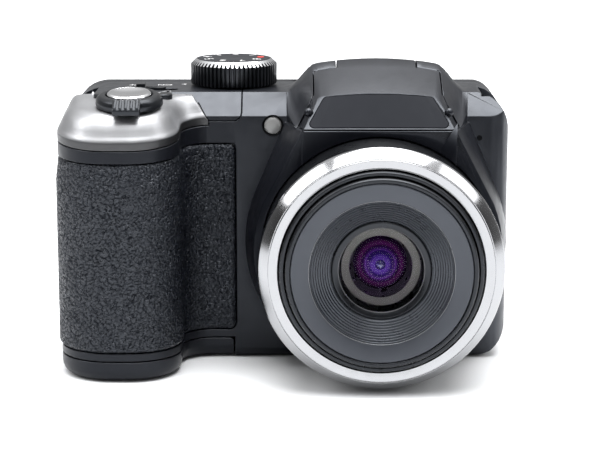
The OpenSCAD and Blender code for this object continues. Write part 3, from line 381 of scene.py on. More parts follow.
class Nodes:
    """A node tree under construction, with short calls for the nodes that the stage and the finishes share."""

    def __init__(self, tree: bpy.types.NodeTree) -> None:
        """Empties the tree that is to be filled."""
        self.tree = tree
        tree.nodes.clear()

    def node(self, kind: str, **settings: object) -> bpy.types.Node:
        """Adds a node and sets its properties.

        Args:
            kind: Type name of the node.
            settings: Properties with their values.

        Returns:
            The node.
        """
        made = self.tree.nodes.new(kind)
        for key, value in settings.items():
            setattr(made, key, value)
        return made

    def put(self, node: bpy.types.Node, values: dict[str, object]) -> None:
        """Sets inputs of a node from their names and values."""
        for key, value in values.items():
            node.inputs[key].default_value = value

    def link(self, source: Socket, target: Socket) -> None:
        """Joins an output to an input."""
        self.tree.links.new(source, target)

    def coords(self, centre: Point = (0, 0, 0), stretch: Point = (1, 1, 1)) -> Socket:
        """Object coordinates in millimetres about a centre.

        Args:
            centre: Point that becomes the origin.
            stretch: Factors along x, y and z.

        Returns:
            Vector socket.
        """
        mapping = self.node("ShaderNodeMapping")
        self.put(mapping, {"Scale": [s / MM for s in stretch], "Location": [-c * s for c, s in zip(centre, stretch)]})
        self.link(self.node("ShaderNodeTexCoord").outputs["Object"], mapping.inputs["Vector"])
        return mapping.outputs[0]

    def part(self, vector: Socket, letter: str) -> Socket:
        """One coordinate of a vector.

        Args:
            vector: Vector socket.
            letter: X, Y or Z.

        Returns:
            Value socket.
        """
        made = self.node("ShaderNodeSeparateXYZ")
        self.link(vector, made.inputs[0])
        return made.outputs[letter]

    def facing_up(self) -> Socket:
        """How far a face is turned up: 1 on a level face and 0 on an upright one."""
        return self.part(self.node("ShaderNodeNewGeometry").outputs["Normal"], "Z")

    def seen(self) -> Socket:
        """Tells rays that show a surface, directly, mirrored or through glass, from rays that only light it.

        Returns:
            Value socket, 1 for a ray that shows.
        """
        path = self.node("ShaderNodeLightPath")
        camera, glossy, clear = (path.outputs[f"Is {kind} Ray"] for kind in ("Camera", "Glossy", "Transmission"))
        return self.math("MAXIMUM", self.math("MAXIMUM", camera, glossy), clear)

    def noise(self, vector: Socket, size: float, detail: float = 2.0) -> Socket:
        """Noise from 0 to 1.

        Args:
            vector: Coordinates in millimetres.
            size: Size of its features.
            detail: Number of finer layers.

        Returns:
            Value socket.
        """
        made = self.node("ShaderNodeTexNoise")
        self.put(made, {"Scale": 1 / size, "Detail": detail})
        self.link(vector, made.inputs["Vector"])
        return made.outputs[0]

    def cells(self, vector: Socket, size: float, feature: str) -> bpy.types.Node:
        """Random cells.

        Args:
            vector: Coordinates in millimetres.
            size: Size of a cell.
            feature: What the node measures.

        Returns:
            The node.
        """
        made = self.node("ShaderNodeTexVoronoi", feature=feature)
        self.put(made, {"Scale": 1 / size})
        self.link(vector, made.inputs["Vector"])
        return made

    def remap(self, value: Socket, low: float, high: float, start: float = 0.0, end: float = 1.0) -> Socket:
        """Maps one span onto another and holds its ends.

        Args:
            value: Value socket.
            low: Result at the start.
            high: Result at the end.
            start: First value of the span.
            end: Last value of the span.

        Returns:
            Value socket.
        """
        made = self.node("ShaderNodeMapRange")
        self.put(made, {"From Min": start, "From Max": end, "To Min": low, "To Max": high})
        self.link(value, made.inputs["Value"])
        return made.outputs[0]

    def math(self, operation: str, first: Socket, second: Socket | float = 0.0) -> Socket:
        """One sum on two values.

        Args:
            operation: Name of the sum.
            first: Value socket.
            second: Value socket or number.

        Returns:
            Value socket.
        """
        made = self.node("ShaderNodeMath", operation=operation)
        self.link(first, made.inputs[0])
        if isinstance(second, Socket):
            self.link(second, made.inputs[1])
        else:
            made.inputs[1].default_value = second
        return made.outputs[0]

    def radius(self, vector: Socket, skip: str) -> Socket:
        """Distance from one of the axes.

        Args:
            vector: Coordinates.
            skip: Letter of the axis.

        Returns:
            Value socket.
        """
        kept = [self.part(vector, letter) for letter in "XYZ" if letter != skip]
        squares = [self.math("MULTIPLY", k, k) for k in kept]
        return self.math("SQRT", self.math("ADD", *squares))

    def tint(self, share: Socket, first: Socket | Color, second: Socket | Color) -> Socket:
        """Colour between two colours.

        Args:
            share: Share of the second colour.
            first: Colour or its socket.
            second: Colour or its socket.

        Returns:
            Colour socket.
        """
        made = self.node("ShaderNodeMix", data_type="RGBA")
        self.link(share, made.inputs[0])
        for socket, value in ((made.inputs[6], first), (made.inputs[7], second)):
            if isinstance(value, Socket):
                self.link(value, socket)
            else:
                socket.default_value = (*value, 1.0)
        return made.outputs[2]

    def ramp(self, share: Socket, stops: list[tuple[float, Color]]) -> Socket:
        """Colour by a value from 0 to 1.

        Args:
            share: Value socket.
            stops: Values with their colours, in order.

        Returns:
            Colour socket.
        """
        made = self.node("ShaderNodeValToRGB")
        marks = made.color_ramp.elements
        for _ in stops[2:]:
            marks.new(0.5)
        for mark, (place, color) in zip(marks, stops):
            mark.position = place
            mark.color = (*color, 1.0)
        self.link(share, made.inputs[0])
        return made.outputs[0]

    def relief(self, height: Socket, depth: float, under: Socket | None = None) -> Socket:
        """Bump, laid over another one.

        Args:
            height: Height from 0 to 1.
            depth: Height in millimetres at 1.
            under: Normal of the relief below.

        Returns:
            Normal socket.
        """
        made = self.node("ShaderNodeBump")
        self.put(made, {"Distance": depth * MM})
        self.link(height, made.inputs["Height"])
        if under is not None:
            self.link(under, made.inputs["Normal"])
        return made.outputs[0]


class Shader(Nodes):
    """A principled material under construction."""

    def __init__(self, name: str) -> None:
        """Starts an empty material.

        Args:
            name: Material name.
        """
        self.material = bpy.data.materials.new(name)
        self.material.use_nodes = True
        super().__init__(self.material.node_tree)
        self.bsdf = self.node("ShaderNodeBsdfPrincipled")
        self.link(self.bsdf.outputs[0], self.node("ShaderNodeOutputMaterial").inputs["Surface"])

    def feed(self, source: Socket, name: str) -> None:
        """Joins an output to a named input of the shader."""
        self.link(source, self.bsdf.inputs[name])


@dataclass(frozen=True)
class Finish:
    """A surface finish with its colour, gloss and relief.

    Args:
        name: Name of the finish and of its material.
        color: Base colour.
        roughness: Middle roughness.
        metallic: 0 for plastic, 1 for bare metal.
        tone: Share by which the colour drifts.
        streak: Amount by which the roughness drifts.
        grain: Kind of relief.
        grain_size: Size of the relief.
        depth: Depth of the relief.
        coat: Strength of a clear coat.
        specular: Strength of the plain reflection.
        film: Tint of the plain reflection.
        crease: Share by which the plain reflection falls in the valleys of a modelled relief and grows on its crests,
            as painted shade and painted highlight.
        crown: Factor by which the plain reflection grows on faces that are turned up, a painted highlight.
        fade: Radii about the lens axis between which the plain reflection grows from a quarter to its strength, a
            painted shade round the lens.
        centre: Point that turned marks run round.
        skip: Letter of the axis that turned marks run round.
    """

    name: str
    color: Color
    roughness: float = 0.45
    metallic: float = 0.0
    tone: float = 0.12
    streak: float = 0.06
    grain: Grain = Grain.SPARK
    grain_size: float = 0.22
    depth: float = 0.006
    coat: float = 0.0
    specular: float = 0.5
    film: Color = (0.86, 0.91, 1.0)
    crease: float = 0.0
    crown: float = 1.0
    fade: Pair = (0.0, 0.0)
    centre: Point = (0, 0, 0)
    skip: str = "Y"

    def material(self) -> bpy.types.Material:
        """The finish as a material, made once.

        Returns:
            The material.
        """
        known = bpy.data.materials.get(self.name)
        if known:
            return known
        shader = Shader(self.name)
        self.fill(shader)
        return shader.material

    def lay(self, obj: bpy.types.Object) -> None:
        """Makes the finish the only material of a piece."""
        obj.data.materials.clear()
        obj.data.materials.append(self.material())

    def fill(self, shader: Shader) -> None:
        """Sets up the shader.

        Args:
            shader: Material under construction.
        """
        place = shader.coords()
        shader.feed(self.base(shader, place), "Base Color")
        span = (max(self.roughness - self.streak, 0.02), self.roughness + self.streak)
        shader.feed(shader.remap(shader.noise(place, STREAK_SIZE, 4.0), *span, 0.25, 0.75), "Roughness")
        film = (1.0, 1.0, 1.0) if self.metallic else self.film
        shader.put(shader.bsdf, {
            "Metallic": self.metallic, "Coat Weight": self.coat, "Coat Roughness": COAT_ROUGHNESS,
            "Specular IOR Level": self.specular, "Specular Tint": (*film, 1.0)})
        gloss = self.gloss(shader)
        if gloss is not None:
            shader.feed(gloss, "Specular IOR Level")
        shader.feed(self.normal(shader, place), "Normal")

    def base(self, shader: Shader, place: Socket) -> Socket:
        """Base colour, which drifts between a darker and a lighter one by noise at the coordinates."""
        low, high = (tuple(c * k for c in self.color) for k in (1 - self.tone, 1 + self.tone))
        return shader.tint(shader.noise(place, DRIFT_SIZE, 3.0), low, high)

    def gloss(self, shader: Shader) -> Socket | None:
        """Strength of the plain reflection where it changes over the surface, which paints highlights and shade.

        Args:
            shader: Material under construction.

        Returns:
            Value socket, or nothing where the strength is even.
        """
        if self.crease:
            # Painted shade in the valleys of the relief and painted highlight on its crests.
            height = shader.node("ShaderNodeAttribute", attribute_name="relief").outputs["Fac"]
            low, high = self.specular * (1 - self.crease), self.specular * (1 + self.crease)
            return shader.remap(height, low, high, *CREASE_SPAN)
        if self.crown == 1.0:
            return None
        # Painted highlight: the plain reflection grows as a face turns up.
        up = shader.facing_up()
        level = shader.remap(up, self.specular, self.specular * self.crown, *CROWN_SPAN)
        if not self.fade[1]:
            return level
        # Painted shade: near the lens axis the plain reflection falls to a quarter.
        place = shader.coords(self.centre)
        reach = shader.remap(shader.radius(place, self.skip), FADED, 1.0, *self.fade)
        # Painted highlight: on upright faces the plain reflection grows towards the right side.
        side = shader.remap(shader.part(place, "X"), 0.0, SHEEN, *SHEEN_SPAN)
        upright = shader.remap(up, 1.0, 0.0, *CROWN_SPAN)
        sheen = shader.math("ADD", shader.math("MULTIPLY", side, upright), 1.0)
        return shader.math("MULTIPLY", shader.math("MULTIPLY", level, reach), sheen)

    def normal(self, shader: Shader, place: Socket) -> Socket:
        """Relief of the finish.

        Args:
            shader: Material under construction.
            place: Coordinates in millimetres.

        Returns:
            Normal socket.
        """
        size, depth = self.grain_size, self.depth
        if self.grain is Grain.FLAKE:
            parts = shader.node("ShaderNodeSeparateColor")
            shader.link(shader.cells(place, size, "F1").outputs["Color"], parts.inputs[0])
            return shader.relief(parts.outputs[0], depth)
        if self.grain is Grain.LEATHER:
            bend = shader.relief(shader.noise(place, size * 3, 3.0), depth * 2)
            border = shader.cells(place, size, "DISTANCE_TO_EDGE").outputs["Distance"]
            fold = shader.relief(shader.remap(border, 0.0, 1.0, 0.0, FOLD_WIDTH), depth, bend)
            return shader.relief(shader.noise(place, PORE_SIZE), depth * 0.5, fold)
        if self.grain is Grain.TURNED:
            lines = shader.node("ShaderNodeTexNoise", noise_dimensions="1D")
            shader.put(lines, {"Scale": 1 / size, "Detail": 2.0})
            shader.link(shader.radius(shader.coords(self.centre), self.skip), lines.inputs["W"])
            return shader.relief(lines.outputs[0], depth)
        if self.grain is Grain.BRUSHED:
            return shader.relief(shader.noise(shader.coords(stretch=(0.05, 1, 1)), size), depth)
        if self.grain is Grain.SMOOTH:
            return shader.relief(shader.noise(place, WAVE_SIZE, 1.0), depth)
        pits = shader.relief(shader.noise(place, size, 1.0), depth)
        return shader.relief(shader.noise(place, size * 4, 1.0), depth, pits)


@dataclass(frozen=True)
class Lacquer(Finish):
    """Metallic paint, with painted shade that darkens its colour on upright faces.

    Args:
        upright: Share of the colour that is left on an upright face, where the shade is painted.
    """

    upright: float = 0.2

    def base(self, shader: Shader, place: Socket) -> Socket:
        """Base colour, darkened by painted shade as a face turns upright.

        Args:
            shader: Material under construction.
            place: Coordinates in millimetres.

        Returns:
            Colour socket.
        """
        # Painted shade: upright faces keep only a share of the colour, blended in by how far a face is turned up.
        shade_color = tuple(c * self.upright for c in self.color)
        lit_share = shader.remap(shader.facing_up(), 0.0, 1.0, *UPRIGHT_SHADE_SPAN)
        return shader.tint(lit_share, shade_color, super().base(shader, place))


@dataclass(frozen=True)
class Glass(Finish):
    """Clear or coated glass and clear plastic.

    Args:
        bend: Refractive index.
        clear: Share of light that passes.
        haze: Size of the patches in its gloss.
        film: Colour of the coating's reflection.
    """

    bend: float = 1.5
    clear: float = 1.0
    haze: float = 3.0
    film: Color = (1.0, 1.0, 1.0)

    def fill(self, shader: Shader) -> None:
        """Sets up the shader.

        Args:
            shader: Material under construction.
        """
        patches = shader.noise(shader.coords(self.centre), self.haze, 3.0)
        shader.feed(shader.remap(patches, self.roughness, self.roughness + self.streak), "Roughness")
        shader.put(shader.bsdf, {
            "Base Color": (*self.color, 1.0), "IOR": self.bend, "Transmission Weight": self.clear,
            "Specular Tint": (*self.film, 1.0)})


@dataclass(frozen=True)
class RingedGlass(Glass):
    """Dark coated glass whose tint changes with the distance from the lens axis.

    Args:
        clear: Share of light that passes.
        haze: Size of the patches in its gloss.
        tints: Pairs of a radius and a colour, from the middle outwards.
        reach: Radius at which the tints end.
    """

    clear: float = 0.0
    haze: float = 2.0
    tints: tuple[tuple[float, Color], ...] = ()
    reach: float = 1.0

    def fill(self, shader: Shader) -> None:
        """Sets up the shader.

        Args:
            shader: Material under construction.
        """
        super().fill(shader)
        share = shader.math("DIVIDE", shader.radius(shader.coords(self.centre), self.skip), self.reach)
        shader.feed(shader.ramp(share, [(r / self.reach, color) for r, color in self.tints]), "Base Color")


LENS_CENTRE: Point = (0.0, 0.0, 30.2)
DIAL_CENTRE: Point = (-36.0, 2.0, 67.0)
SHUTTER_CENTRE: Point = (-60.1, -30.0, 66.01)
MOVIE_CENTRE: Point = (-43.8, 18.0, 57.5)
MENU_CENTRE: Point = (-60.8, 18.0, 10.0)
PLAY_CENTRE: Point = (-44.8, 18.0, 44.0)
DELETE_CENTRE: Point = (-44.8, 18.0, 10.0)
PAD_CENTRE: Point = (-52.8, 18.0, 27.0)

# Shell plastic; its crown is a painted highlight on faces turned up.
SHELL = Finish("shell_plastic", (0.006, 0.0066, 0.0092), 0.36, depth=0.004, specular=0.25, crown=2.5)
# Cowl plastic, with painted shade round the lens and a painted highlight on its right side.
COWL = replace(SHELL, name="cowl_plastic", fade=(29.5, 35.0), centre=LENS_CENTRE)
# Hood plastic, with a weaker painted highlight on faces turned up.
HOOD = replace(SHELL, name="hood_plastic", depth=0.003, specular=0.28, crown=1.9)
BACK = Finish("back_plastic", (0.0068, 0.0074, 0.0096), 0.4, depth=0.005, specular=0.38)
# Silver lacquer of the grip cap; its upright faces carry painted shade.
SHADED_LACQUER = Lacquer("silver_lacquer_painted_shade", (0.38, 0.384, 0.397), 0.42, 0.92, 0.05, 0.04, Grain.FLAKE, 0.16, 0.004, 0.1)
RUBBER = Finish("plain_rubber", (0.006, 0.0072, 0.0105), 0.36, 0.0, 0.3, 0.1, Grain.LEATHER, 0.62, 0.05)
# Grip rubber; its crease paints shade into the valleys of the relief and highlight onto its crests.
GRIP = replace(RUBBER, name="grip_rubber", roughness=0.31, grain_size=0.95, depth=0.12, specular=0.36, crease=0.6)
BLACK = Finish("control_plastic", (0.0055, 0.006, 0.0072), 0.32, depth=0.003, specular=0.4)
PLATE = Finish("plate_plastic", (0.0055, 0.006, 0.0085), 0.46, streak=0.02, depth=0.002, specular=0.1)
GLOSS = Finish("screen_gloss", (0.004, 0.0042, 0.005), 0.07, 0.0, 0.1, 0.02, Grain.SMOOTH, depth=0.004, coat=0.4)
FACE = Finish("lens_face", (0.03, 0.0325, 0.0395), 0.34, grain=Grain.TURNED, grain_size=0.09, depth=0.003,
              specular=0.6, centre=LENS_CENTRE)
GROOVE = replace(FACE, name="lens_grooves", color=(0.019, 0.021, 0.026), roughness=0.3)
BARREL = replace(FACE, name="barrel_black", color=(0.005, 0.0053, 0.0063), roughness=0.3, grain_size=0.1,
                 depth=0.002, specular=0.4)
STOP = replace(FACE, name="stop_ring", color=(0.105, 0.103, 0.096), roughness=0.5, metallic=0.2, grain_size=0.14,
               specular=0.5)
DIAL_FACE = replace(FACE, name="dial_face", color=(0.024, 0.025, 0.028), roughness=0.55, grain_size=0.12,
                    specular=0.14, centre=DIAL_CENTRE, skip="Z")
RING = Finish("ring_silver", (0.34, 0.343, 0.353), 0.14, 1.0, 0.03, 0.03, Grain.TURNED, 0.12, 0.0008,
              centre=LENS_CENTRE)
BRIGHT = replace(RING, name="button_silver", color=(0.82, 0.825, 0.84), roughness=0.13, grain_size=0.1, depth=0.001,
                 centre=SHUTTER_CENTRE, skip="Z")
STEEL = Finish("pin_steel", (0.58, 0.585, 0.6), 0.26, 1.0, 0.06, 0.06, Grain.BRUSHED, 0.12, 0.003)
LINE = replace(STEEL, name="edge_line", color=(0.2, 0.205, 0.215), roughness=0.3)
DARK_STEEL = replace(STEEL, name="screw_steel", color=(0.09, 0.09, 0.095), roughness=0.32, tone=0.1)
TRIM = Finish("dial_trim", (0.72, 0.73, 0.75), 0.22, 1.0, 0.04, 0.05, Grain.BRUSHED, 0.1, 0.002)
BRASS = Finish("contact_gold", (0.72, 0.52, 0.22), 0.28, 1.0, 0.08, 0.08, Grain.BRUSHED, 0.15, 0.003)
NYLON = Finish("gear_nylon", (0.62, 0.58, 0.46), 0.5, depth=0.004)
INNER = Finish("inner_plastic", (0.03, 0.03, 0.033), 0.5)
BOARD = Finish("board_green", (0.02, 0.12, 0.06), 0.35, tone=0.3)
SLEEVE = Finish("cell_sleeve", (0.16, 0.17, 0.19), 0.25, 0.6, grain=Grain.SMOOTH, depth=0.01, coat=0.3)
WHITE_MARK = Finish("white_marks", (0.72, 0.72, 0.72), 0.5, grain=Grain.SMOOTH)
RED_MARK = replace(WHITE_MARK, name="red_marks", color=(0.5, 0.035, 0.025))
# Near black standing in for the shade in holes and gaps: painted shade.
HOLE_SHADE = Finish("painted_hole_shade", (0.0012, 0.0012, 0.0014), 0.6, specular=0.1)
CORE = Finish("core_glass", (0.02, 0.012, 0.12), 0.05, streak=0.02, grain=Grain.SMOOTH, depth=0.001, specular=0.9,
              coat=0.6)
LAMP = Glass("lamp_lens", (0.4, 0.4, 0.395), 0.12, streak=0.08, clear=0.4)
CLEAR = Glass("front_glass", (1.0, 1.0, 1.0), 0.0, streak=0.004, bend=1.12, film=(0.75, 0.6, 1.0))
FLASH_CLEAR = Glass("flash_clear", (0.95, 0.96, 0.98), 0.05, streak=0.05, clear=0.9)
VIOLET = RingedGlass(
    "violet_glass", (0, 0, 0), 0.04, streak=0.03, centre=LENS_CENTRE, reach=7.6, bend=1.35, film=(0.62, 0.25, 1.0),
    tints=((0.0, (0.024, 0.012, 0.13)), (1.3, (0.045, 0.02, 0.21)), (2.3, (0.04, 0.015, 0.19)),
           (2.6, (0.016, 0.007, 0.09)), (3.2, (0.012, 0.004, 0.06)), (3.5, (0.05, 0.012, 0.16)),
           (3.9, (0.03, 0.005, 0.075)), (4.3, (0.018, 0.003, 0.035)), (4.7, (0.06, 0.007, 0.075)),
           (5.3, (0.04, 0.004, 0.045)), (5.7, (0.012, 0.0015, 0.02)), (7.4, (0.003, 0.001, 0.005))))


# Putting pieces on the camera

FLAT_DEG = 0.8
BEVEL_STEPS = 2


def dress(obj: bpy.types.Object, finish: Finish, body: str, replaces: tuple[str, ...] = ()) -> None:
    """Gives a piece its finish, its body and the nodes that it stands for.

    Args:
        obj: Piece.
        finish: Finish of the whole piece.
        body: Body that it moves with.
        replaces: Nodes that it stands for.
    """
    finish.lay(obj)
    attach(obj, body)
    if replaces:
        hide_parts(*replaces)
    LOG.info("%s on %s", obj.name, body)


def moulding(
    name: str, node: str, edge: float, plain: tuple[Point, Point] | None = None, sharp_deg: float = 30.0,
    merge: float = 0.03
) -> bpy.types.Object:
    """Copies a solid, joins its loose triangles, melts flat facets together and rounds its sharp edges.

    Args:
        name: Piece name.
        node: Node to copy.
        edge: Width of the rounded edges.
        plain: Low and high corner of a box in which edges stay as they are.
        sharp_deg: Angle past which an edge is rounded.
        merge: Distance under which two points are one.

    Returns:
        The piece.
    """
    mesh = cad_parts[node].data.copy()
    mesh.name = name
    bm = bmesh.new()
    bm.from_mesh(mesh)
    bmesh.ops.remove_doubles(bm, verts=bm.verts, dist=merge * MM)
    bmesh.ops.dissolve_degenerate(bm, edges=bm.edges, dist=merge * MM)
    bmesh.ops.dissolve_limit(bm, angle_limit=math.radians(FLAT_DEG), verts=bm.verts, edges=bm.edges)
    weight = bm.edges.layers.float.new("bevel_weight_edge")
    sharp = math.radians(sharp_deg)
    for line in bm.edges:
        middle = (line.verts[0].co + line.verts[1].co) / (2 * MM)
        kept = plain is not None and all(low < c < high for low, c, high in zip(plain[0], middle, plain[1]))
        line[weight] = float(not kept and line.is_manifold and line.calc_face_angle(0.0) > sharp)
    bm.to_mesh(mesh)
    bm.free()
    mesh.polygons.foreach_set("use_smooth", np.ones(len(mesh.polygons), bool))
    mesh.set_sharp_from_angle(angle=sharp)
    obj = added(name, mesh)
    if edge:
        bevel = obj.modifiers.new("rounded_edges", "BEVEL")
        bevel.width = edge * MM
        bevel.segments = BEVEL_STEPS
        bevel.limit_method = "WEIGHT"
        bevel.use_clamp_overlap = False
        bevel.harden_normals = True
    return obj


@dataclass(frozen=True)
class SoftBox:
    """A soft studio lamp, in metres.

    Args:
        name: Lamp name.
        place: Middle of the box.
        target: Point that it faces.
        size: Width and height.
        power: Strength in watts.
    """

    name: str
    place: Point
    target: Point
    size: Pair
    power: float

    def build(self) -> None:
        """Makes the lamp."""
        light = bpy.data.lights.new(self.name, "AREA")
        light.shape = "RECTANGLE"
        light.size, light.size_y = self.size
        light.energy = self.power
        obj = added(self.name, light)
        obj.location = self.place
        obj.rotation_euler = (Vector(self.target) - Vector(self.place)).to_track_quat("-Z", "Y").to_euler()


@dataclass
class Studio:
    """Floor, light and camera, in metres.

    Args:
        ambient: Strength of the surround as a light.
        band: Strength of the dark band that reflections show above the horizon in front of the camera.
        band_back: Strength of the band behind the camera.
        band_turn: Span of the second coordinate over which the one becomes the other.
        band_low: Sine of the elevation at which the band starts.
        band_high: Sine of the elevation at which the band starts to fade.
        band_end: Sine of the elevation at which it is gone.
        floor_half: Half the width of the floor, in millimetres.
        floor_drop: Gap between the floor and the base, in millimetres.
        floor_color: Colour of the floor.
        floor_glow: Strength of the floor's own white for the eye and for reflections.
        contact: Reach of the contact shadow.
        contact_power: Depth of the contact shadow.
        eye: Place of the view.
        pitch_deg: Turn of the view up from straight down.
        focal: Focal length of the view for a sensor of that width, both in millimetres.
        sensor: Width of the sensor.
        boxes: Lamps.
    """

    ambient: float = 0.35
    band: float = 0.05
    band_back: float = 0.45
    band_turn: Pair = (-0.1, 0.5)
    band_low: float = 0.015
    band_high: float = 0.45
    band_end: float = 0.7
    floor_half: float = 3000.0
    floor_drop: float = 0.02
    floor_color: Color = (0.86, 0.87, 0.885)
    floor_glow: float = 0.4
    contact: float = 0.03
    contact_power: float = 1.6
    eye: Point = (-0.01906, -0.48880, 0.13215)
    pitch_deg: float = 78.077
    focal: float = 115.35
    sensor: float = 36.0
    boxes: tuple[SoftBox, ...] = (
        SoftBox("overhead_box", (0.05, -0.04, 1.0), (-0.02, 0.0, 0.03), (1.05, 0.85), 22.0),
        SoftBox("left_box", (-0.95, -0.2, 0.9), (-0.03, -0.02, 0.03), (0.5, 0.7), 6.0),
        SoftBox("right_box", (1.0, -0.1, 0.85), (-0.02, -0.02, 0.03), (0.4, 0.6), 3.0),
    )

    def build(self) -> None:
        """Makes the stage and the camera."""
        bpy.context.scene.view_settings.view_transform = "Standard"
        self.world()
        self.floor()
        for box in self.boxes:
            box.build()
        self.camera()

    def world(self) -> None:
        """A white surround for the eye, a soft grey light, and in reflections a darker band above the horizon."""
        world = bpy.data.worlds.new("surround")
        bpy.context.scene.world = world
        world.use_nodes = True
        nodes = Nodes(world.node_tree)
        glow = nodes.node("ShaderNodeBackground")
        place = nodes.node("ShaderNodeTexCoord").outputs["Object"]
        levels = ((0.0, 0.0), (self.band_low, 1.0), (self.band_high, 1.0), (self.band_end, 0.0))
        band = nodes.ramp(nodes.part(place, "Z"), [(height, (value,) * 3) for height, value in levels])
        front = nodes.remap(nodes.part(place, "Y"), 1 - self.band, 1 - self.band_back, *self.band_turn)
        mirrored = nodes.node("ShaderNodeLightPath").outputs["Is Glossy Ray"]
        shade = nodes.math("MULTIPLY", nodes.math("MULTIPLY", mirrored, band), front)
        level = nodes.remap(nodes.seen(), self.ambient, 1.0)
        nodes.link(nodes.math("SUBTRACT", level, shade), glow.inputs["Strength"])
        nodes.put(glow, {"Color": (1.0, 1.0, 1.0, 1.0)})
        nodes.link(glow.outputs[0], nodes.node("ShaderNodeOutputWorld").inputs["Surface"])

    def floor(self) -> None:
        """A pale sheet under the camera that reads as white and keeps the shadow, darkest where pieces touch it."""
        side = np.linspace(-self.floor_half, self.floor_half, 3)
        x, y = np.meshgrid(side, side, indexing="ij")
        floor = surface("floor", np.stack([x, y, 0 * x - self.floor_drop], -1), grid_quads(3, 3))
        shader = Shader("floor_white")
        shader.put(shader.bsdf, {
            "Base Color": (*self.floor_color, 1.0), "Roughness": 0.9, "Specular IOR Level": 0.1,
            "Emission Color": (1.0, 1.0, 1.0, 1.0)})
        near = shader.node("ShaderNodeAmbientOcclusion", samples=16)
        shader.put(near, {"Distance": self.contact})
        open_share = shader.math("POWER", near.outputs["AO"], self.contact_power)
        glow = shader.math("MULTIPLY", shader.seen(), self.floor_glow)
        shader.feed(shader.math("MULTIPLY", glow, open_share), "Emission Strength")
        floor.data.materials.append(shader.material)

    def camera(self) -> None:
        """The photograph's view, as a pinhole fitted to the body's known sizes."""
        data = bpy.data.cameras.new("view")
        data.sensor_width = self.sensor
        data.lens = self.focal
        data.clip_start = 0.01
        obj = added("view", data)
        obj.location = self.eye
        obj.rotation_euler = (math.radians(self.pitch_deg), 0.0, 0.0)
        bpy.context.scene.camera = obj


@dataclass
class Casing:
    """Covers, door and flash hood, as mouldings of their solids with rounded edges.

    Args:
        pieces: Node, finish, body, slot and edge width of each moulding.
        hinge_floor: Corners of the narrow floor under the flash hinge, whose edges stay sharp to leave it room.
    """

    pieces: tuple[tuple[str, Finish, str, str, float], ...] = (
        ("front_cover", COWL, "body", "shell", 0.22),
        ("top_cover", SHELL, "body", "shell", 0.2),
        ("rear_cover", BACK, "body", "shell_back", 0.25),
        ("battery_door", SHELL, "door", "shell", 0.2),
        ("door_latch", BLACK, "latch", "dark_plastic", 0.1),
        ("port_cover", RUBBER, "port", "grip", 0.15),
        ("flash_hood", HOOD, "flash", "shell", 0.1),
        ("flash_front_plate", PLATE, "flash", "black_gloss", 0.12),
        ("power_switch", BLACK, "power", "dark_plastic", 0.1),
        ("tripod_bush", STEEL, "body", "steel", 0.2),
        ("case_screws", DARK_STEEL, "body", "steel", 0.06),
        ("screen_window", GLOSS, "body", "screen", 0.3),
        ("flash_window", FLASH_CLEAR, "flash", "flash_glass", 0.1),
    )
    hinge_floor: tuple[Point, Point] = ((-11.0, 2.0, 64.9), (11.0, 8.0, 65.9))

    def build(self) -> None:
        """Makes every moulding and hides its solid."""
        for node, finish, body, slot, edge in self.pieces:
            piece = moulding(node + "_moulding", node, edge, self.hinge_floor)
            dress(piece, finish, body, (node,))


@dataclass
class Internals:
    """Solids that keep their own mesh: pieces inside, which show when a door or the flash is open, and strap pins.

    Args:
        finishes: Nodes with their finishes.
    """

    finishes: dict[str, Finish] = field(default_factory=lambda: {
        "door_hinge_pin": STEEL, "door_contacts": BRASS, "battery_box": INNER, "battery_contacts": BRASS,
        "battery_cells": SLEEVE, "card_slot": STEEL, "usb_socket": STEEL, "flash_reflector": BRIGHT,
        "flash_tube": FLASH_CLEAR, "flash_hinge_pins": STEEL, "drive_ring": NYLON, "zoom_pinion": NYLON,
        "zoom_motor": STEEL, "guide_rods": STEEL, "focus_carriage": INNER, "focus_lens": CLEAR,
        "lens_base": INNER, "image_sensor": BOARD, "main_board": BOARD, "screen_panel": GLOSS,
        "second_group_frame": BARREL, "shutter_unit": INNER, "strap_pins": STEEL,
    })

    def build(self) -> None:
        """Gives each solid its finish."""
        for node, finish in self.finishes.items():
            finish.lay(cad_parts[node])
            LOG.info("%s finished", node)


@dataclass
class GripPlan:
    """Plan of the grip, which its cap and its rubber share.

    Args:
        x_left: Outer side.
        x_grip: Inner side.
        y_front: Front of the body.
        y_grip: Front of the grip.
        r_out: Radius of the outer front corner.
        r_in: Radius of the inner front corner.
        throat: Radius of the hollow between grip and body.
    """

    x_left: float = -77.8
    x_grip: float = -48.2
    y_front: float = -18.0
    y_grip: float = -41.5
    r_out: float = 13.0
    r_in: float = 12.0
    throat: float = 7.5


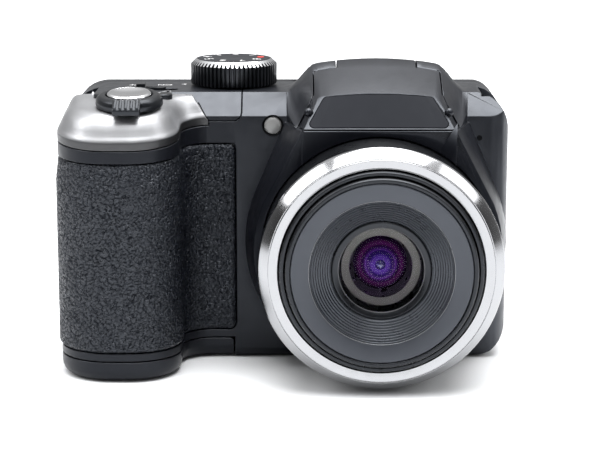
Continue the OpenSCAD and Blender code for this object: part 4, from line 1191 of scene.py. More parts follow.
@dataclass
class GripCap(GripPlan):
    """Silver cap on the grip: the grip's plan, inset step by step on a smooth profile and sheared by the cap's tilt.

    A point lies at an angle round the shutter and a share of the way up. Up to the plateau it is the inset plan at the
    profile's height, and from there its ring closes in on the round seat of the zoom lever.

    Args:
        x_cap: End of the cap beside the lens.
        y_cap: Back of the cap.
        z_low: Foot of the cap at the front of the grip.
        z_seam: Height from which its end leans.
        z_flat: Height that its top doesn't pass.
        slope: Rise of the cap towards the back.
        lean: Lean of its end.
        soft: Height over which it levels out under the top.
        thick: Wall.
        seat_r: Radius of the lever's seat.
        profile: Insets with their heights above the foot.
        blur: Points over which the profile is evened.
    """

    x_cap: float = -41.8
    y_cap: float = -14.8
    z_low: float = 56.81
    z_seam: float = 60.6
    z_flat: float = 67.0
    slope: float = 0.11394
    lean: float = 0.65
    soft: float = 0.9
    thick: float = 1.1
    seat_r: float = 4.05
    profile: tuple[Pair, ...] = ((0, 0), (0, 1.2), (0, 2.1), (0.12, 2.42), (0.45, 2.75), (0.95, 3.7), (1.5, 4.85),
                                 (2.15, 5.9), (2.95, 6.75), (3.9, 7.4), (5.0, 7.8), (6.2, 7.9), (7.3, 7.9))
    blur: int = 7

    def plan(self, inset: np.ndarray) -> np.ndarray:
        """Plan outline at insets: side, outer arc, inner arc, throat arc, end and back, held behind by the back line.

        Args:
            inset: Insets of the rings.

        Returns:
            Array of rings, points, x and y.
        """
        turn = np.linspace(0, math.pi / 2, 48)
        d = np.asarray(inset, float)[:, None]
        neck_x, neck_y = self.x_grip + self.throat, self.y_front - self.throat
        reach = np.sqrt(np.maximum((self.throat + d) ** 2 - (self.y_cap - neck_y) ** 2, 0))
        end = np.minimum(neck_x - reach, self.x_cap)
        corner = np.minimum(self.y_front + d, self.y_cap)
        runs = (
            (self.x_left + d, np.linspace(self.y_cap, self.y_grip + self.r_out, 14)[:-1]),
            (self.x_left + self.r_out - (self.r_out - d) * np.cos(turn),
             self.y_grip + self.r_out - (self.r_out - d) * np.sin(turn)),
            (self.x_grip - self.r_in + (self.r_in - d) * np.sin(turn),
             self.y_grip + self.r_in - (self.r_in - d) * np.cos(turn)),
            (np.minimum(neck_x - (self.throat + d) * np.cos(turn), end),
             np.minimum(neck_y + (self.throat + d) * np.sin(turn), self.y_cap)),
            (end, corner + (self.y_cap - corner) * np.linspace(0, 1, 4)),
            (end + (self.x_left + d - end) * np.linspace(0, 1, 32)[1:-1], self.y_cap),
        )
        sides = [np.stack(np.broadcast_arrays(x + 0 * d, y + 0 * d), -1) for x, y in runs]
        return np.concatenate(sides, 1)

    def build(self) -> None:
        """Makes the skin and gives it its thickness."""
        knots = np.array(self.profile)
        run = distances(knots)
        fine = np.linspace(0, run[-1], 70)
        even = np.ones(self.blur) / self.blur
        inset, rise = (np.convolve(np.pad(np.interp(fine, run, line), self.blur // 2, "edge"), even, "valid")
                       for line in knots.T)
        rings = self.plan(inset)
        cx, cy, _ = SHUTTER_CENTRE
        last = rings[-1]
        angle = np.arctan2(last[:, 1] - cy, last[:, 0] - cx)
        seat = np.stack([cx + self.seat_r * np.cos(angle), cy + self.seat_r * np.sin(angle)], -1)
        close = np.linspace(0, 1, 24)[1:, None, None]
        rings = np.concatenate([rings, last + (seat - last) * close])
        height = np.concatenate([rise, np.full(len(close), rise[-1])])
        z = self.z_low + height[:, None] + self.slope * (rings[..., 1] - self.y_grip)
        level = self.z_flat - self.soft
        z = np.where(z > level, level + self.soft * (1 - np.exp(-np.maximum(z - level, 0) / self.soft)), z)
        edge = self.x_cap - self.lean * np.maximum(z - self.z_seam, 0)
        x = np.minimum(rings[..., 0], edge)
        skin = surface("grip_cap_skin", np.stack([x, rings[..., 1], z], -1),
                       grid_quads(len(rings), rings.shape[1], False, True), 50)
        wall = skin.modifiers.new("thickness", "SOLIDIFY")
        wall.thickness = self.thick * MM
        wall.offset = -1.0
        dress(skin, SHADED_LACQUER, "body", ("grip_cap",))


@dataclass
class GripPad(GripPlan):
    """Rubber skin round the grip: a sheet that follows the grip's plan, with a leather relief in its surface.

    The plan is straight, arc, straight, arc, straight, throat arc, straight. A point lies at a distance s along it and
    a height z, pushed out by the sheet's thickness, the finger ledge and the relief.

    Args:
        x_end: End of the sheet beside the lens.
        y_end: Back end of the sheet on the outer side.
        z_low: Lower edge.
        z_top: Upper edge at the front of the grip.
        z_high: Height that the upper edge doesn't pass.
        slope: Rise of the upper edge towards the back.
        proud: Height of the sheet over the grip.
        sunk: Depth of its rim in the grip.
        corner: Radius of its corners beside the lens.
        rim: Width of its rounded rim.
        ledge: Height of the finger ledge.
        ledge_drop: Depth by which its upper end lies lower.
        ledge_span: Distances from the upper edge between which it rises.
        ledge_fade: Distances to the front between which it grows.
        step: Distance between points.
        cell: Size of a cell of the relief.
        fold: Depth of the relief.
        bends: Width and size of the noises that bend its cells.
    """

    x_end: float = -35.1
    y_end: float = -15.6
    z_low: float = 7.4
    z_top: float = 53.6
    z_high: float = 55.5
    slope: float = 0.057
    proud: float = 0.2
    sunk: float = 0.7
    corner: float = 1.9
    rim: float = 1.0
    ledge: float = 0.55
    ledge_drop: float = 0.3
    ledge_span: Pair = (0.8, 6.5)
    ledge_fade: Pair = (20.0, 30.0)
    step: float = 0.22
    cell: float = 1.2
    fold: float = 0.34
    bends: tuple[Pair, ...] = ((1.5, 2.2), (0.7, 0.8))

    def path(self) -> tuple[np.ndarray, np.ndarray, np.ndarray]:
        """The plan as a line.

        Returns:
            Its points, their distances from the back of the outer side, and the heading at each.
        """
        turn = np.linspace(0, math.pi / 2, 24)
        c, k = 1 - np.cos(turn), 1 - np.sin(turn)
        arc_out = np.stack([self.x_left + self.r_out * c, self.y_grip + self.r_out * k], 1)
        arc_in = np.stack([self.x_grip - self.r_in * k, self.y_grip + self.r_in * c], 1)
        throat = np.stack([self.x_grip + self.throat * c, self.y_front - self.throat * k], 1)
        line = np.concatenate([[[self.x_left, self.y_end]], arc_out, arc_in, throat, [[self.x_end, self.y_front]]])
        heading = np.concatenate([[math.pi * 1.5], math.pi * 1.5 + turn, math.pi * 2 + turn,
                                  math.pi * 2.5 - turn, [math.pi * 2]])
        return line, distances(line), heading

    def relief(self, s: np.ndarray, z: np.ndarray) -> np.ndarray:
        """Leather height from 0 to 1: random cells, bent by noise, whose borders are folds.

        Args:
            s: Distance along the plan.
            z: Height.

        Returns:
            Height of the same shape.
        """
        bend_s, bend_z = (sum(width * (value_noise(s / size, z / size, seed + k) - 0.5)
                              for k, (width, size) in enumerate(self.bends)) for seed in (3, 5))
        border = cell_border((s + bend_s) / self.cell, (z + bend_z) / (0.8 * self.cell), 7)
        fine = cell_border((s + bend_z) / (0.5 * self.cell), (z + bend_s) / (0.45 * self.cell), 8)
        return 0.8 * soft_step(border, 0.0, 0.2) + 0.2 * soft_step(fine, 0.0, 0.4)

    def build(self) -> None:
        """Makes the sheet."""
        line, run, heading = self.path()
        length, height = run[-1], self.z_high - self.z_low
        cols, rows = int(length / self.step), int(height / self.step)
        u, v = np.meshgrid(np.linspace(0, 1, cols), np.linspace(0, 1, rows), indexing="ij")
        end_room = self.corner - np.minimum(v, 1 - v) * height
        short = self.corner - np.sqrt(np.maximum(self.corner**2 - np.maximum(end_room, 0) ** 2, 0))
        s = u * (length - short)
        point = np.stack([np.interp(s, run, line[:, k]) for k in (0, 1)], -1)
        angle = np.interp(s, run, heading)
        normal = np.stack([np.sin(angle), -np.cos(angle)], -1)
        top = np.minimum(self.z_top + self.slope * (point[..., 1] - self.y_grip), self.z_high)
        z = self.z_low + v * (top - self.z_low)
        rim = np.minimum(np.minimum(z - self.z_low, top - z), np.minimum(s + 0.6, length - short - s))
        ledge = self.ledge * soft_step(top - z, *self.ledge_span) - self.ledge_drop
        ledge *= soft_step(-point[..., 1], *self.ledge_fade)
        relief = self.relief(s, z)
        rise = self.proud + ledge + self.fold * (relief - 0.6)
        share = np.sqrt(np.clip(rim / self.rim, 0, 1))
        rise = np.where(rim < self.rim, -self.sunk + (rise + self.sunk) * share, rise)
        points = np.concatenate([point + normal * rise[..., None], z[..., None]], -1)
        dress(loft("grip_pad", points, 180.0, relief), GRIP, "body", ("grip_rubber",))


@dataclass
class Lens:
    """Trim ring, barrels, lens face and glass, all turned about the lens axis. Heights are distances to the front.

    Args:
        ring_f: Front of the trim ring.
        ring_r: Radius of the trim ring.
        sleeve_r: Radius of the fixed sleeve.
        outer_r: Radius of the outer barrel.
        inner_r: Radius of the inner barrel.
        wall: Wall of a barrel.
        face_r: Radius of the dark face.
        cone_r: Radius at which the face's grooves start.
        groove_run: Width of all grooves.
        groove_drop: Depth that they go down.
        grooves: Number of grooves.
        glass_r: Radius of the front glass.
        sag: Height of its dome.
        stop_r: Outer radius of the grey stop ring.
        pupil_r: Radius of the coated glass.
        bead_r: Radius of the bead in its middle.
        axis: Lens axis.
    """

    ring_f: float = 52.8
    ring_r: float = 29.1
    sleeve_r: float = 28.2
    outer_r: float = 24.0
    inner_r: float = 22.6
    wall: float = 1.1
    face_r: float = 21.45
    cone_r: float = 17.1
    groove_run: float = 5.1
    groove_drop: float = 3.0
    grooves: int = 9
    glass_r: float = 10.5
    sag: float = 1.6
    stop_r: float = 9.3
    pupil_r: float = 7.4
    bead_r: float = 1.25
    axis: Axis = Axis(LENS_CENTRE, FRONT, RIGHT)

    def build(self) -> None:
        """Makes every turned piece."""
        self.ring()
        self.barrels()
        self.face()
        self.front_glass()
        self.stops()
        self.inner_glass()
        self.sleeve()

    def ring(self) -> None:
        """Silver trim ring: a slightly conical face, a wide bevel and a short outer edge."""
        f, r, inner, foot = self.ring_f, self.ring_r, self.outer_r + 0.4, self.sleeve_r + 0.1
        outline = [(inner, f - 2.8), (inner, f - 0.2), (self.outer_r + 0.7, f - 0.25), (r - 2.62, f),
                   (r - 2.47, f - 0.25), (r - 2.3, f - 0.13), (r - 0.25, f - 2.5), (r, f - 2.95), (r, f - 3.5),
                   (foot, f - 3.5), (foot, f - 2.8)]
        piece = turned("trim_ring", self.axis, outline, 0.12, 256, 4, 50)
        dress(piece, RING, "body", ("lens_trim_ring",))

    def barrels(self) -> None:
        """Both zoom barrels with rounded lips."""
        for name, node, body, r, front, back in (
            ("outer_barrel", "zoom_barrel_outer", "barrel_outer", self.outer_r, 0.8, 39.4),
            ("inner_barrel", "zoom_barrel_inner", "barrel_inner", self.inner_r, 2.2, 38.0),
        ):
            f = self.ring_f + front
            outline = [(r - self.wall, f - front - back), (r, f - front - back), (r, f - 0.5), (r - 0.35, f),
                       (r - self.wall, f - 0.05)]
            dress(turned(name, self.axis, outline, 0.2, 192, 4), BARREL, body, (node,))

    def face(self) -> None:
        """Dark lens face: a shallow cone, a bright edge line, stepped grooves and a retaining ring."""
        f, g, body = self.ring_f, self.glass_r, "barrel_inner"
        r, inner = self.cone_r, g + 1.35
        cone = [(self.face_r, f - 6), (self.face_r, f + 1.75), (self.face_r - 0.3, f + 2), (r + 0.2, f + 1.42),
                (r - 0.1, f + 1.2), (r - 0.1, f - 6)]
        dress(turned("lens_face", self.axis, cone, 0.1, 192, 3, 34), FACE, body, ("front_baffle",))
        turn = np.linspace(0, 2 * math.pi, 12, endpoint=False)
        line = np.stack([r + 0.08 * np.cos(turn), f + 1.3 + 0.08 * np.sin(turn)], 1)
        dress(lathe("face_line", self.axis, line, 192), LINE, body)
        pitch, drop = self.groove_run / self.grooves, self.groove_drop / self.grooves
        steps = [point for i in range(self.grooves) for point in (
            (r - i * pitch, f + 1.2 - (i + 1) * drop), (r - (i + 0.55) * pitch, f + 1.32 - (i + 1) * drop),
            (r - (i + 1) * pitch + 0.1, f + 1.14 - (i + 1) * drop))]
        rings = [(r, f - 6), (r, f + 1.2), *steps, (inner, f - 2), (inner, f - 6)]
        dress(turned("face_grooves", self.axis, rings, 0.08, 192, 3, 34), GROOVE, body)
        keeper = [(g + 0.05, f - 6), (g + 1.3, f - 6), (g + 1.3, f - 1.9), (g + 0.9, f - 1.6), (g + 0.2, f - 1.85),
                  (g - 0.5, f - 2.2), (g - 0.5, f - 2.5), (g + 0.05, f - 2.5)]
        piece = turned("lens_keeper", self.axis, keeper, 0.1, 160)
        dress(piece, BARREL, body, ("front_retaining_ring",))

    def front_glass(self) -> None:
        """Front glass: a flat back under a dome on a ball."""
        f, g, sag = self.ring_f, self.glass_r, self.sag
        ball = (g * g + sag * sag) / (2 * sag)
        reach = np.linspace(g - 0.6, 0, 24)
        dome = np.stack([reach, f - 4.6 + np.sqrt(ball**2 - reach**2) - ball + sag], 1)
        rim = [[0, f - 5.3], [g - 0.6, f - 5.3]]
        lens = lathe("front_glass", self.axis, np.concatenate([rim, dome]), 128)
        dress(lens, CLEAR, "barrel_inner", ("front_lens",))

    def stops(self) -> None:
        """Grey stop ring behind the glass, the waved ring round it, the keeper's edge line and the dark tunnel."""
        f, g, p, mid, body = self.ring_f, self.glass_r, self.pupil_r, self.stop_r, "barrel_inner"
        stop = [(p, f - 6.4), (mid, f - 5.95), (mid, f - 7.4), (p + 0.3, f - 7.4)]
        dress(turned("stop_ring", self.axis, stop, 0.1, 160), STOP, body)
        share = np.linspace(0, 1, 40)
        turn = share * 2 * math.pi
        ridge = np.stack([mid + 0.05 + share * (g - mid), f - 5.75 + 0.75 * share + 0.16 * np.cos(turn * 5)], 1)
        ribs = np.concatenate([[[mid + 0.05, f - 7.4]], ridge, [[g + 0.05, f - 7.4]]])
        dress(lathe("ridge_ring", self.axis, ribs, 160), BARREL, body)
        edge = np.stack([g - 0.35 + 0.14 * np.cos(turn), f - 2.2 + 0.14 * np.sin(turn)], 1)[:-1]
        dress(lathe("keeper_edge", self.axis, edge, 160), DARK_STEEL, body)
        tunnel = [(p + 0.25, f - 6.9), (p + 0.6, f - 6.9), (p + 0.6, f - 13.4), (5.6, f - 13.4), (5.6, f - 12.9)]
        dress(turned("lens_tunnel", self.axis, tunnel, 0.1, 128), BARREL, body)

    def inner_glass(self) -> None:
        """Coated glass at the end of the tunnel, a waved bowl, and the bead in its middle."""
        f, p = self.ring_f, self.pupil_r
        reach = np.linspace(p + 0.2, 0, 60)
        bowl = 3.4 * (reach / p) ** 2 - 0.06 * np.cos(reach * 2 * math.pi / 1.9)
        back = [[0, f - 13.2], [p + 0.2, f - 13.2]]
        inner = np.concatenate([back, np.stack([reach, f - 8.2 - bowl], 1)])
        dress(lathe("coated_glass", self.axis, inner, 128), VIOLET, "barrel_inner", ("second_lens",))
        reach = np.linspace(self.bead_r, 0, 16)
        dome = np.stack([reach, f - 8.95 + np.sqrt((self.bead_r + 0.1) ** 2 - reach**2)], 1)
        bead = np.concatenate([[[0, f - 8.95], [self.bead_r, f - 8.95]], dome])
        dress(lathe("core_glass", self.axis, bead, 64), CORE, "barrel_inner")

    def sleeve(self) -> None:
        """Small index on the outer barrel's lip, and the fixed sleeve."""
        dot = Axis((0.0, -self.ring_f - 0.7, LENS_CENTRE[2] - self.outer_r + 0.6), FRONT, RIGHT)
        knob = [(0, -0.3), (0.42, -0.3), (0.42, 0.08), (0.3, 0.2), (0, 0.24)]
        dress(turned("barrel_index", dot, knob, 0.1, 32), BARREL, "barrel_outer")
        tube = moulding("lens_sleeve_tube", "lens_sleeve", 0.0)
        dress(tube, BARREL, "body", ("lens_sleeve",))


@dataclass
class Dial:
    """Mode dial: a notched knob with a bright bevel and a dark cap.

    Args:
        r: Radius.
        height: Height of the knob.
        lift: Gap under the knob.
        stem_r: Radius of the stem.
        stem: Depth of the stem.
        teeth: Number of notches.
        notch: Depth of a notch.
        bevel: Width of the bevel.
        cap_r: Radius of the cap.
        axis: Axis of the dial.
    """

    r: float = 11.0
    height: float = 6.5
    lift: float = 0.3
    stem_r: float = 3.5
    stem: float = 5.0
    teeth: int = 60
    notch: float = 0.8
    bevel: float = 1.25
    cap_r: float = 9.35
    axis: Axis = Axis(DIAL_CENTRE, UP, RIGHT)

    def rings(self, radius: np.ndarray, height: np.ndarray) -> np.ndarray:
        """Points of rings round the dial from radii and heights, one row for each ring: r cos a, r sin a, h."""
        angle = np.linspace(0, 2 * math.pi, radius.shape[1], endpoint=False)
        return self.axis.points(radius * np.cos(angle), radius * np.sin(angle), height)

    def build(self) -> None:
        """Makes the knob, its bevel and its cap. A notch is a soft step of the cosine of the angle times the teeth."""
        count, r, lift = self.teeth * 10, self.r, self.lift
        angle = np.linspace(0, 2 * math.pi, count, endpoint=False)
        cut = self.notch * soft_step(-np.cos(angle * self.teeth), -0.25, 0.55)
        flat = np.ones(count)
        top = lift + self.height
        rim, seat, inner = top - self.bevel, top - 0.8, self.cap_r - 0.05
        knob = np.array([np.broadcast_arrays(a + 0 * flat, b + 0 * flat) for a, b in (
            (0, -self.stem), (self.stem_r, -self.stem), (self.stem_r, lift - 0.1), (r - 0.6 - cut, lift),
            (r - 0.15 - cut, lift + 0.2), (r - cut, lift + 0.5), (r - cut, rim + cut), (inner, rim + 0.1),
            (inner, seat), (0, seat))])
        rings = self.rings(knob[:, 0], knob[:, 1])
        piece = surface("dial_knob", rings, grid_quads(len(rings), count, False, True), 35)
        dress(piece, BLACK, "dial", ("mode_dial",))
        slope = np.linspace(0, 1, 5)[:, None]
        edge_r = (r - cut) * (1 - slope) + (r - self.bevel) * slope
        edge_h = (rim + cut) * (1 - slope) + top * slope
        inner_r = np.array([self.cap_r * flat, self.cap_r * flat])
        inner_h = np.array([top * flat, (rim + 0.12) * flat])
        rings = self.rings(np.concatenate([edge_r, inner_r]), np.concatenate([edge_h, inner_h]))
        trim = surface("dial_bevel", rings, grid_quads(len(rings), count, True, True), 35)
        dress(trim, TRIM, "dial")
        cap = [(0, top - 0.75), (self.cap_r - 0.1, top - 0.75), (self.cap_r - 0.1, top - 0.05),
               (self.cap_r - 0.3, top + 0.12), (0, top + 0.15)]
        dress(turned("dial_cap_disc", self.axis, cap, 0.1, 128), DIAL_FACE, "dial", ("dial_cap",))


@dataclass
class Controls:
    """Shutter button, zoom lever and the round buttons, turned from their profiles.

    Args:
        shutter_r: Radius of the shutter button.
        lever_r: Radius of the zoom lever.
        stem_r: Radius of the button's stem.
        seat_r: Radius of the lever's stem.
        gap: Gap between button and lever.
        tilt_deg: Lean of both towards the front.
        tab_half: Half the width of the lever's tab.
        ribs: Number of ribs on the tab.
        keys: Node, body, x and y of the buttons on the cap.
        key_z: Foot of the buttons on the cap.
        plungers: Node, body, place and radius of the buttons on the back.
        wall: Wall of the rear cover.
    """

    shutter_r: float = 5.35
    lever_r: float = 8.1
    stem_r: float = 1.9
    seat_r: float = 3.98
    gap: float = 0.3
    tilt_deg: float = 6.5
    tab_half: float = 3.25
    ribs: int = 5
    keys: tuple[tuple[str, str, float, float], ...] = (
        ("exposure_button", "exposure_key", -67.2, -19.8),
        ("drive_button", "drive_key", -53.0, -19.6),
    )
    key_z: float = 64.0
    plungers: tuple[tuple[str, str, Point, float], ...] = (
        ("movie_button", "movie_key", MOVIE_CENTRE, 3.2),
        ("menu_button", "menu_key", MENU_CENTRE, 2.9),
        ("play_button", "play_key", PLAY_CENTRE, 2.9),
        ("delete_button", "delete_key", DELETE_CENTRE, 2.9),
    )
    wall: float = 1.6

    def build(self) -> None:
        """Makes every control."""
        tilt = math.radians(self.tilt_deg)
        axis = Axis(SHUTTER_CENTRE, (0, -math.sin(tilt), math.cos(tilt)), RIGHT)
        self.shutter(axis)
        self.lever(axis)
        self.tab(axis)
        self.buttons()

    def shutter(self, axis: Axis) -> None:
        """Bright button with a dished top and a rolled rim.

        Args:
            axis: Axis of the button.
        """
        r, stem, low = self.shutter_r, self.stem_r, -3.4
        dish = np.stack([np.linspace(r - 0.75, 0, 14), 3.5 - 0.42 * (1 - np.linspace(1, 0, 14) ** 2)], 1)
        foot = [(0, low), (stem, low), (stem, 2.1), (r - 0.3, 2.1), (r, 2.4), (r, 3.1), (r - 0.4, 3.5)]
        profile = np.concatenate([[[0, low]], soften(foot, 0.14, 3)[4:], dish])
        dress(lathe("shutter_cap", axis, profile, 128, 50), BRIGHT, "shutter", ("shutter_button",))

    def lever(self, axis: Axis) -> None:
        """Domed ring of the zoom lever.

        Args:
            axis: Axis of the lever.
        """
        r, hole, bore, seat = self.lever_r, self.shutter_r + self.gap, self.stem_r + self.gap, self.seat_r
        outline = [(bore, -2.6), (seat, -2.6), (seat, 0.2), (r - 0.2, 0.2), (r, 0.5), (r, 1.4), (r - 0.35, 2.35),
                   (r - 1.1, 2.95), (hole + 0.35, 3.12), (hole, 2.85), (hole, 0.9), (bore, 0.9)]
        dress(turned("lever_ring", axis, outline, 0.3, 128, 4, 50), BLACK, "lever", ("zoom_lever",))

    def tab(self, axis: Axis) -> None:
        """Ribbed tab at the front of the lever: its outline carried across, narrower at both ends.

        Args:
            axis: Axis of the lever.
        """
        r, half = self.lever_r, self.tab_half
        x = np.linspace(-half, half, 66)
        rib = soft_step(np.cos((x / half) * math.pi * self.ribs), -0.3, 0.5) * (np.abs(x) < half - 0.25)
        side = np.sqrt(np.clip((half - np.abs(x)) / 0.4, 0, 1))
        line = soften([(-r + 1.7, 0.3), (-r + 1.7, 3.0), (-r + 0.4, 3.42), (-r - 2.3, 1.95), (-r - 2.65, 1.6),
                       (-r - 2.65, 0.5), (-r - 2.35, 0.25)], 0.2, 3)
        middle = line.mean(0)
        on_slope = soft_step(line[:, 1], 1.7, 2.1) * soft_step(-line[:, 0], r - 1.2, r - 0.6)
        grow = 1 - 0.12 * (1 - side[:, None])
        across = x[:, None] + 0 * line[:, 0]
        depth = middle[0] + (line[:, 0] - middle[0]) * grow
        lift = middle[1] + (line[:, 1] - middle[1]) * grow + 0.28 * rib[:, None] * on_slope
        dress(loft("lever_tab", axis.points(across, depth, lift), 35), BLACK, "lever")

    def buttons(self) -> None:
        """Round buttons of the grip cap and the back, with the four-way pad and its middle."""
        for node, body, x, y in self.keys:
            axis = Axis((x, y, self.key_z), UP, RIGHT)
            outline = [(0, 0), (2.6, 0), (2.6, 3.4), (2.3, 3.7), (0, 3.8)]
            dress(turned(node + "_cap", axis, outline, 0.2, 64), BLACK, body, (node,))
        low, flange = -self.wall - 1.3, -self.wall - 0.3
        for node, body, place, r in self.plungers:
            axis = Axis(place, REAR, RIGHT)
            outline = [(0, low), (r + 0.9, low), (r + 0.9, flange), (r, flange), (r, 0.5), (r - 0.3, 0.75), (0, 0.85)]
            dress(turned(node + "_cap", axis, outline, 0.2, 64), BLACK, body, (node,))
        axis = Axis(PAD_CENTRE, REAR, RIGHT)
        pad = [(5.5, low), (11.4, low), (11.4, flange), (10.5, flange), (10.5, 0.6), (10.1, 1.0), (8.2, 0.82),
               (5.9, 0.7), (5.5, 0.5)]
        dress(turned("four_way_pad", axis, pad, 0.25, 128), BLACK, "pad", ("nav_pad",))
        middle = [(0, low), (5.2, low), (5.2, 0.7), (4.9, 0.95), (0, 0.8)]
        dress(turned("pad_middle", axis, middle, 0.2, 96), BLACK, "ok_key", ("ok_button",))


@dataclass
class Lamp:
    """Focus lamp in the front, a frosted dome in a seat of painted shade, and a small cup of painted shade for the
    microphone.

    Args:
        centre: Foot of the lamp.
        r: Radius of the lamp.
        rim: Height at which its dome starts.
        dome: Height of the dome.
        hole: Middle of the cup.
    """

    centre: Point = (-25.8, -15.6, 59.4)
    r: float = 2.2
    rim: float = 2.1
    dome: float = 0.75
    hole: Point = (25.4, -18.0, 56.3)

    def build(self) -> None:
        """Makes the dome, the seat and the cup."""
        r = self.r
        reach = np.linspace(r, 0, 12)
        dome = np.stack([reach, self.rim + self.dome * np.sqrt(np.clip(1 - (reach / r) ** 2, 0, 1))], 1)
        axis = Axis(self.centre, FRONT, RIGHT)
        profile = np.concatenate([[[0, 0], [r, 0]], dome])
        dress(lathe("focus_lamp_lens", axis, profile, 64), LAMP, "body", ("af_lamp",))
        # The seat is near black: painted shade of the gap round the lamp.
        seat = [(r + 0.05, 1.4), (r + 0.5, 2.3), (r + 0.5, 2.52), (r + 0.25, 2.56), (r + 0.02, 2.3)]
        dress(turned("focus_lamp_seat", axis, seat, 0.1, 64), HOLE_SHADE, "body")
        # The microphone cup is near black: painted shade of the hole.
        cup = np.array([(0, 0.02), (0.52, 0.02), (0.56, 0.09), (0.66, 0.09), (0.72, -0.3), (0, -0.3)])
        axis = Axis(self.hole, FRONT, RIGHT)
        dress(lathe("microphone_hole", axis, cup, 32), HOLE_SHADE, "body")


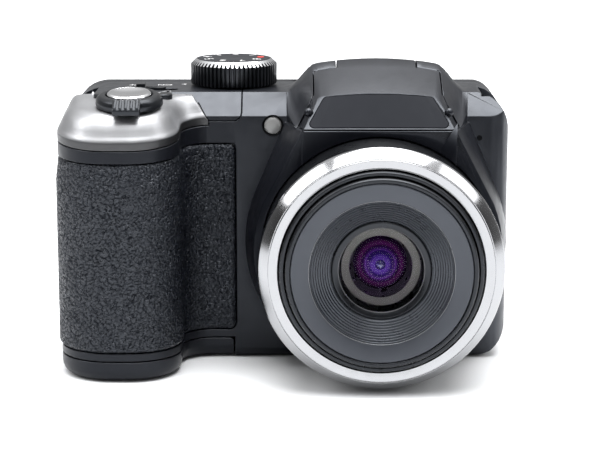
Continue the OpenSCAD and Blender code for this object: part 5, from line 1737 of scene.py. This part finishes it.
@dataclass
class Marks:
    """Plain marks: numbers on the dial, words by the switch, and signs on the buttons.

    Args:
        thick: Thickness of a mark.
        dial_marks: Number of marks on the dial.
        dial_start_deg: Angle of the first one, which is red.
        dial_h: Height of the dial's marks above its foot.
        dial_r: Radius of their ring.
        number_size: Size of the dial's numbers.
        word_size: Size of the words by the switch.
        top_z: Height of the flat top.
        sign_h: Height of the signs above the back.
        arrow_r: Distance of the arrows from the middle of the pad.
    """

    thick: float = 0.08
    dial_marks: int = 9
    dial_start_deg: float = 8.0
    dial_h: float = 6.93
    dial_r: float = 6.9
    number_size: float = 3.4
    word_size: float = 2.4
    top_z: float = 67.0
    sign_h: float = 0.8
    arrow_r: float = 7.9

    def plaque(self, name: str, outline: np.ndarray, axis: Axis, along: float, finish: Finish, body: str) -> None:
        """A thin flat sign: its outline carried straight out by the thickness.

        Args:
            name: Piece name.
            outline: Points of the sign across and up.
            axis: Place of the sign.
            along: Height of its foot on the axis.
            finish: Finish.
            body: Body that it moves with.
        """
        rings = np.stack([axis.points(outline[:, 0], outline[:, 1], 0 * outline[:, 0] + along + k * self.thick)
                          for k in (0, 1)])
        dress(loft(name, rings, 30), finish, body)

    def label(self, name: str, text: str, size: float, axis: Axis, at: Pair, turn: float, along: float,
              finish: Finish, body: str) -> None:
        """A word or number as a thin solid, turned about its middle and laid on a surface.

        Args:
            name: Piece name.
            text: Word or number.
            size: Height of the letters.
            axis: Place that the word is laid on.
            at: Middle of the word across and up.
            turn: Turn of the word in radians.
            along: Height of its foot on the axis.
            finish: Finish.
            body: Body that it moves with.
        """
        curve = bpy.data.curves.new(name, "FONT")
        curve.body = text
        curve.size = size
        curve.align_x, curve.align_y = "CENTER", "CENTER"
        curve.extrude = self.thick / 2
        curve.resolution_u = 3
        held = added(name + "_curve", curve)
        shape = held.evaluated_get(bpy.context.evaluated_depsgraph_get())
        mesh = bpy.data.meshes.new_from_object(shape)
        bpy.data.objects.remove(held)
        flat = np.empty(len(mesh.vertices) * 3)
        mesh.vertices.foreach_get("co", flat)
        x, y, z = flat.reshape(-1, 3).T
        across = x * math.cos(turn) - y * math.sin(turn) + at[0]
        up = x * math.sin(turn) + y * math.cos(turn) + at[1]
        place = axis.points(across, up, z + self.thick / 2 + along) * MM
        mesh.vertices.foreach_set("co", place.ravel())
        settle(mesh, False, 30)
        dress(added(name, mesh), finish, body)

    def build(self) -> None:
        """Makes every mark."""
        turn = np.linspace(0, 2 * math.pi, 24, endpoint=False)
        disc = np.stack([np.cos(turn), np.sin(turn)], 1)
        wedge = np.array([(1.0, 0.0), (-0.5, 0.8), (-0.5, -0.8)])
        dial = Axis(DIAL_CENTRE, UP, RIGHT)
        for i in range(self.dial_marks):
            angle = math.radians(360 / self.dial_marks * i + self.dial_start_deg)
            at = (self.dial_r * math.cos(angle), self.dial_r * math.sin(angle))
            if i == 0:
                self.plaque("dial_mark_red", disc * [0.9, 1.5] + at, dial, self.dial_h, RED_MARK, "dial")
            else:
                self.label(f"dial_number_{i}", str(i), self.number_size, dial, at, angle - math.pi / 2, self.dial_h,
                           WHITE_MARK, "dial")
        top = Axis((0.0, 0.0, self.top_z), UP, LEFT)
        for name, text, across in (("switch_on", "ON", 53.6), ("switch_off", "OFF", 60.6)):
            self.label(name, text, self.word_size, top, (across, -0.8), 0.0, 0.0, WHITE_MARK, "body")
        self.plaque("dial_pointer", wedge * 0.9 + (48.7, -2.0), top, 0.0, WHITE_MARK, "body")
        movie, play, menu, delete, pad = (Axis(centre, REAR, LEFT) for centre in (
            MOVIE_CENTRE, PLAY_CENTRE, MENU_CENTRE, DELETE_CENTRE, PAD_CENTRE))
        self.plaque("movie_sign", disc * 1.3, movie, self.sign_h, RED_MARK, "movie_key")
        self.plaque("play_sign", wedge * 1.2, play, self.sign_h, WHITE_MARK, "play_key")
        self.label("menu_sign", "MENU", 1.35, menu, (0, 0), 0.0, self.sign_h, WHITE_MARK, "menu_key")
        can = np.array([(-0.6, -1.1), (0.6, -1.1), (0.75, 0.7), (1.0, 0.7), (1.0, 1.0), (-1.0, 1.0), (-1.0, 0.7),
                        (-0.75, 0.7)])
        self.plaque("delete_sign", can, delete, self.sign_h, WHITE_MARK, "delete_key")
        for i in range(4):
            c, k = math.cos(i * math.pi / 2), math.sin(i * math.pi / 2)
            arrow = np.stack([wedge[:, 0] * c - wedge[:, 1] * k, wedge[:, 0] * k + wedge[:, 1] * c], 1) * 0.8
            at = (self.arrow_r * c, self.arrow_r * k)
            self.plaque(f"pad_arrow_{i}", arrow + at, pad, self.sign_h, WHITE_MARK, "pad")
        self.label("ok_sign", "OK", 2.2, pad, (0, 0), 0.0, self.sign_h + 0.04, WHITE_MARK, "ok_key")


@dataclass
class ThumbPad:
    """Rubber thumb rest on the back: a long pad with round ends, a crown and a leather relief.

    Args:
        centre: Middle of its foot.
        long: Overall length.
        wide: Width.
        sunk: Depth of its foot in the cover.
        high: Height.
        rim: Width of its rounded rim.
        dip: Drop of its middle.
        rib: Depth of the grooves across.
        grain: Depth of the relief.
    """

    centre: Point = (-62.3, 18.0, 48.0)
    long: float = 18.0
    wide: float = 13.0
    sunk: float = 0.6
    high: float = 2.0
    rim: float = 1.2
    dip: float = 0.35
    rib: float = 0.3
    grain: float = 0.08

    def build(self) -> None:
        """Makes the pad: shrinking copies of its outline, raised on a soft crown with ribs across."""
        outline = slot_outline(self.long, self.wide, 40)
        share = np.concatenate([[1.0], np.linspace(1.0, 0.02, 60)])
        flat = outline[None] * share[:, None, None]
        edge = (1 - share)[:, None] * self.wide / 2
        rise = self.high * np.sqrt(np.clip(edge / self.rim, 0, 1)) - self.dip * soft_step(edge, 0.0, 6.0)
        rib = self.rib * soft_step(np.cos(flat[..., 0] * math.pi), 0.1, 0.9) * soft_step(edge, 1.4, 2.2)
        grain = self.grain * soft_step(cell_border(flat[..., 0] / 0.7 + 40, flat[..., 1] / 0.6 + 40, 12), 0, 0.4)
        height = rise - rib + grain * soft_step(edge, 0.2, 1.0)
        height[0] = -self.sunk
        axis = Axis(self.centre, REAR, UP)
        rings = axis.points(flat[..., 0], flat[..., 1], height)
        dress(loft("thumb_pad", rings, 60), RUBBER, "body", ("thumb_rest",))


def main() -> None:
    """Builds the stage and every sub-assembly."""
    logging.basicConfig(level=logging.INFO, format="%(message)s")
    for part in (Studio(), Casing(), Internals(), GripCap(), GripPad(), Lens(), Dial(), Controls(), Lamp(), ThumbPad(),
                 Marks()):
        LOG.info("building %s", type(part).__name__)
        part.build()


if __name__ == "__main__":
    main()
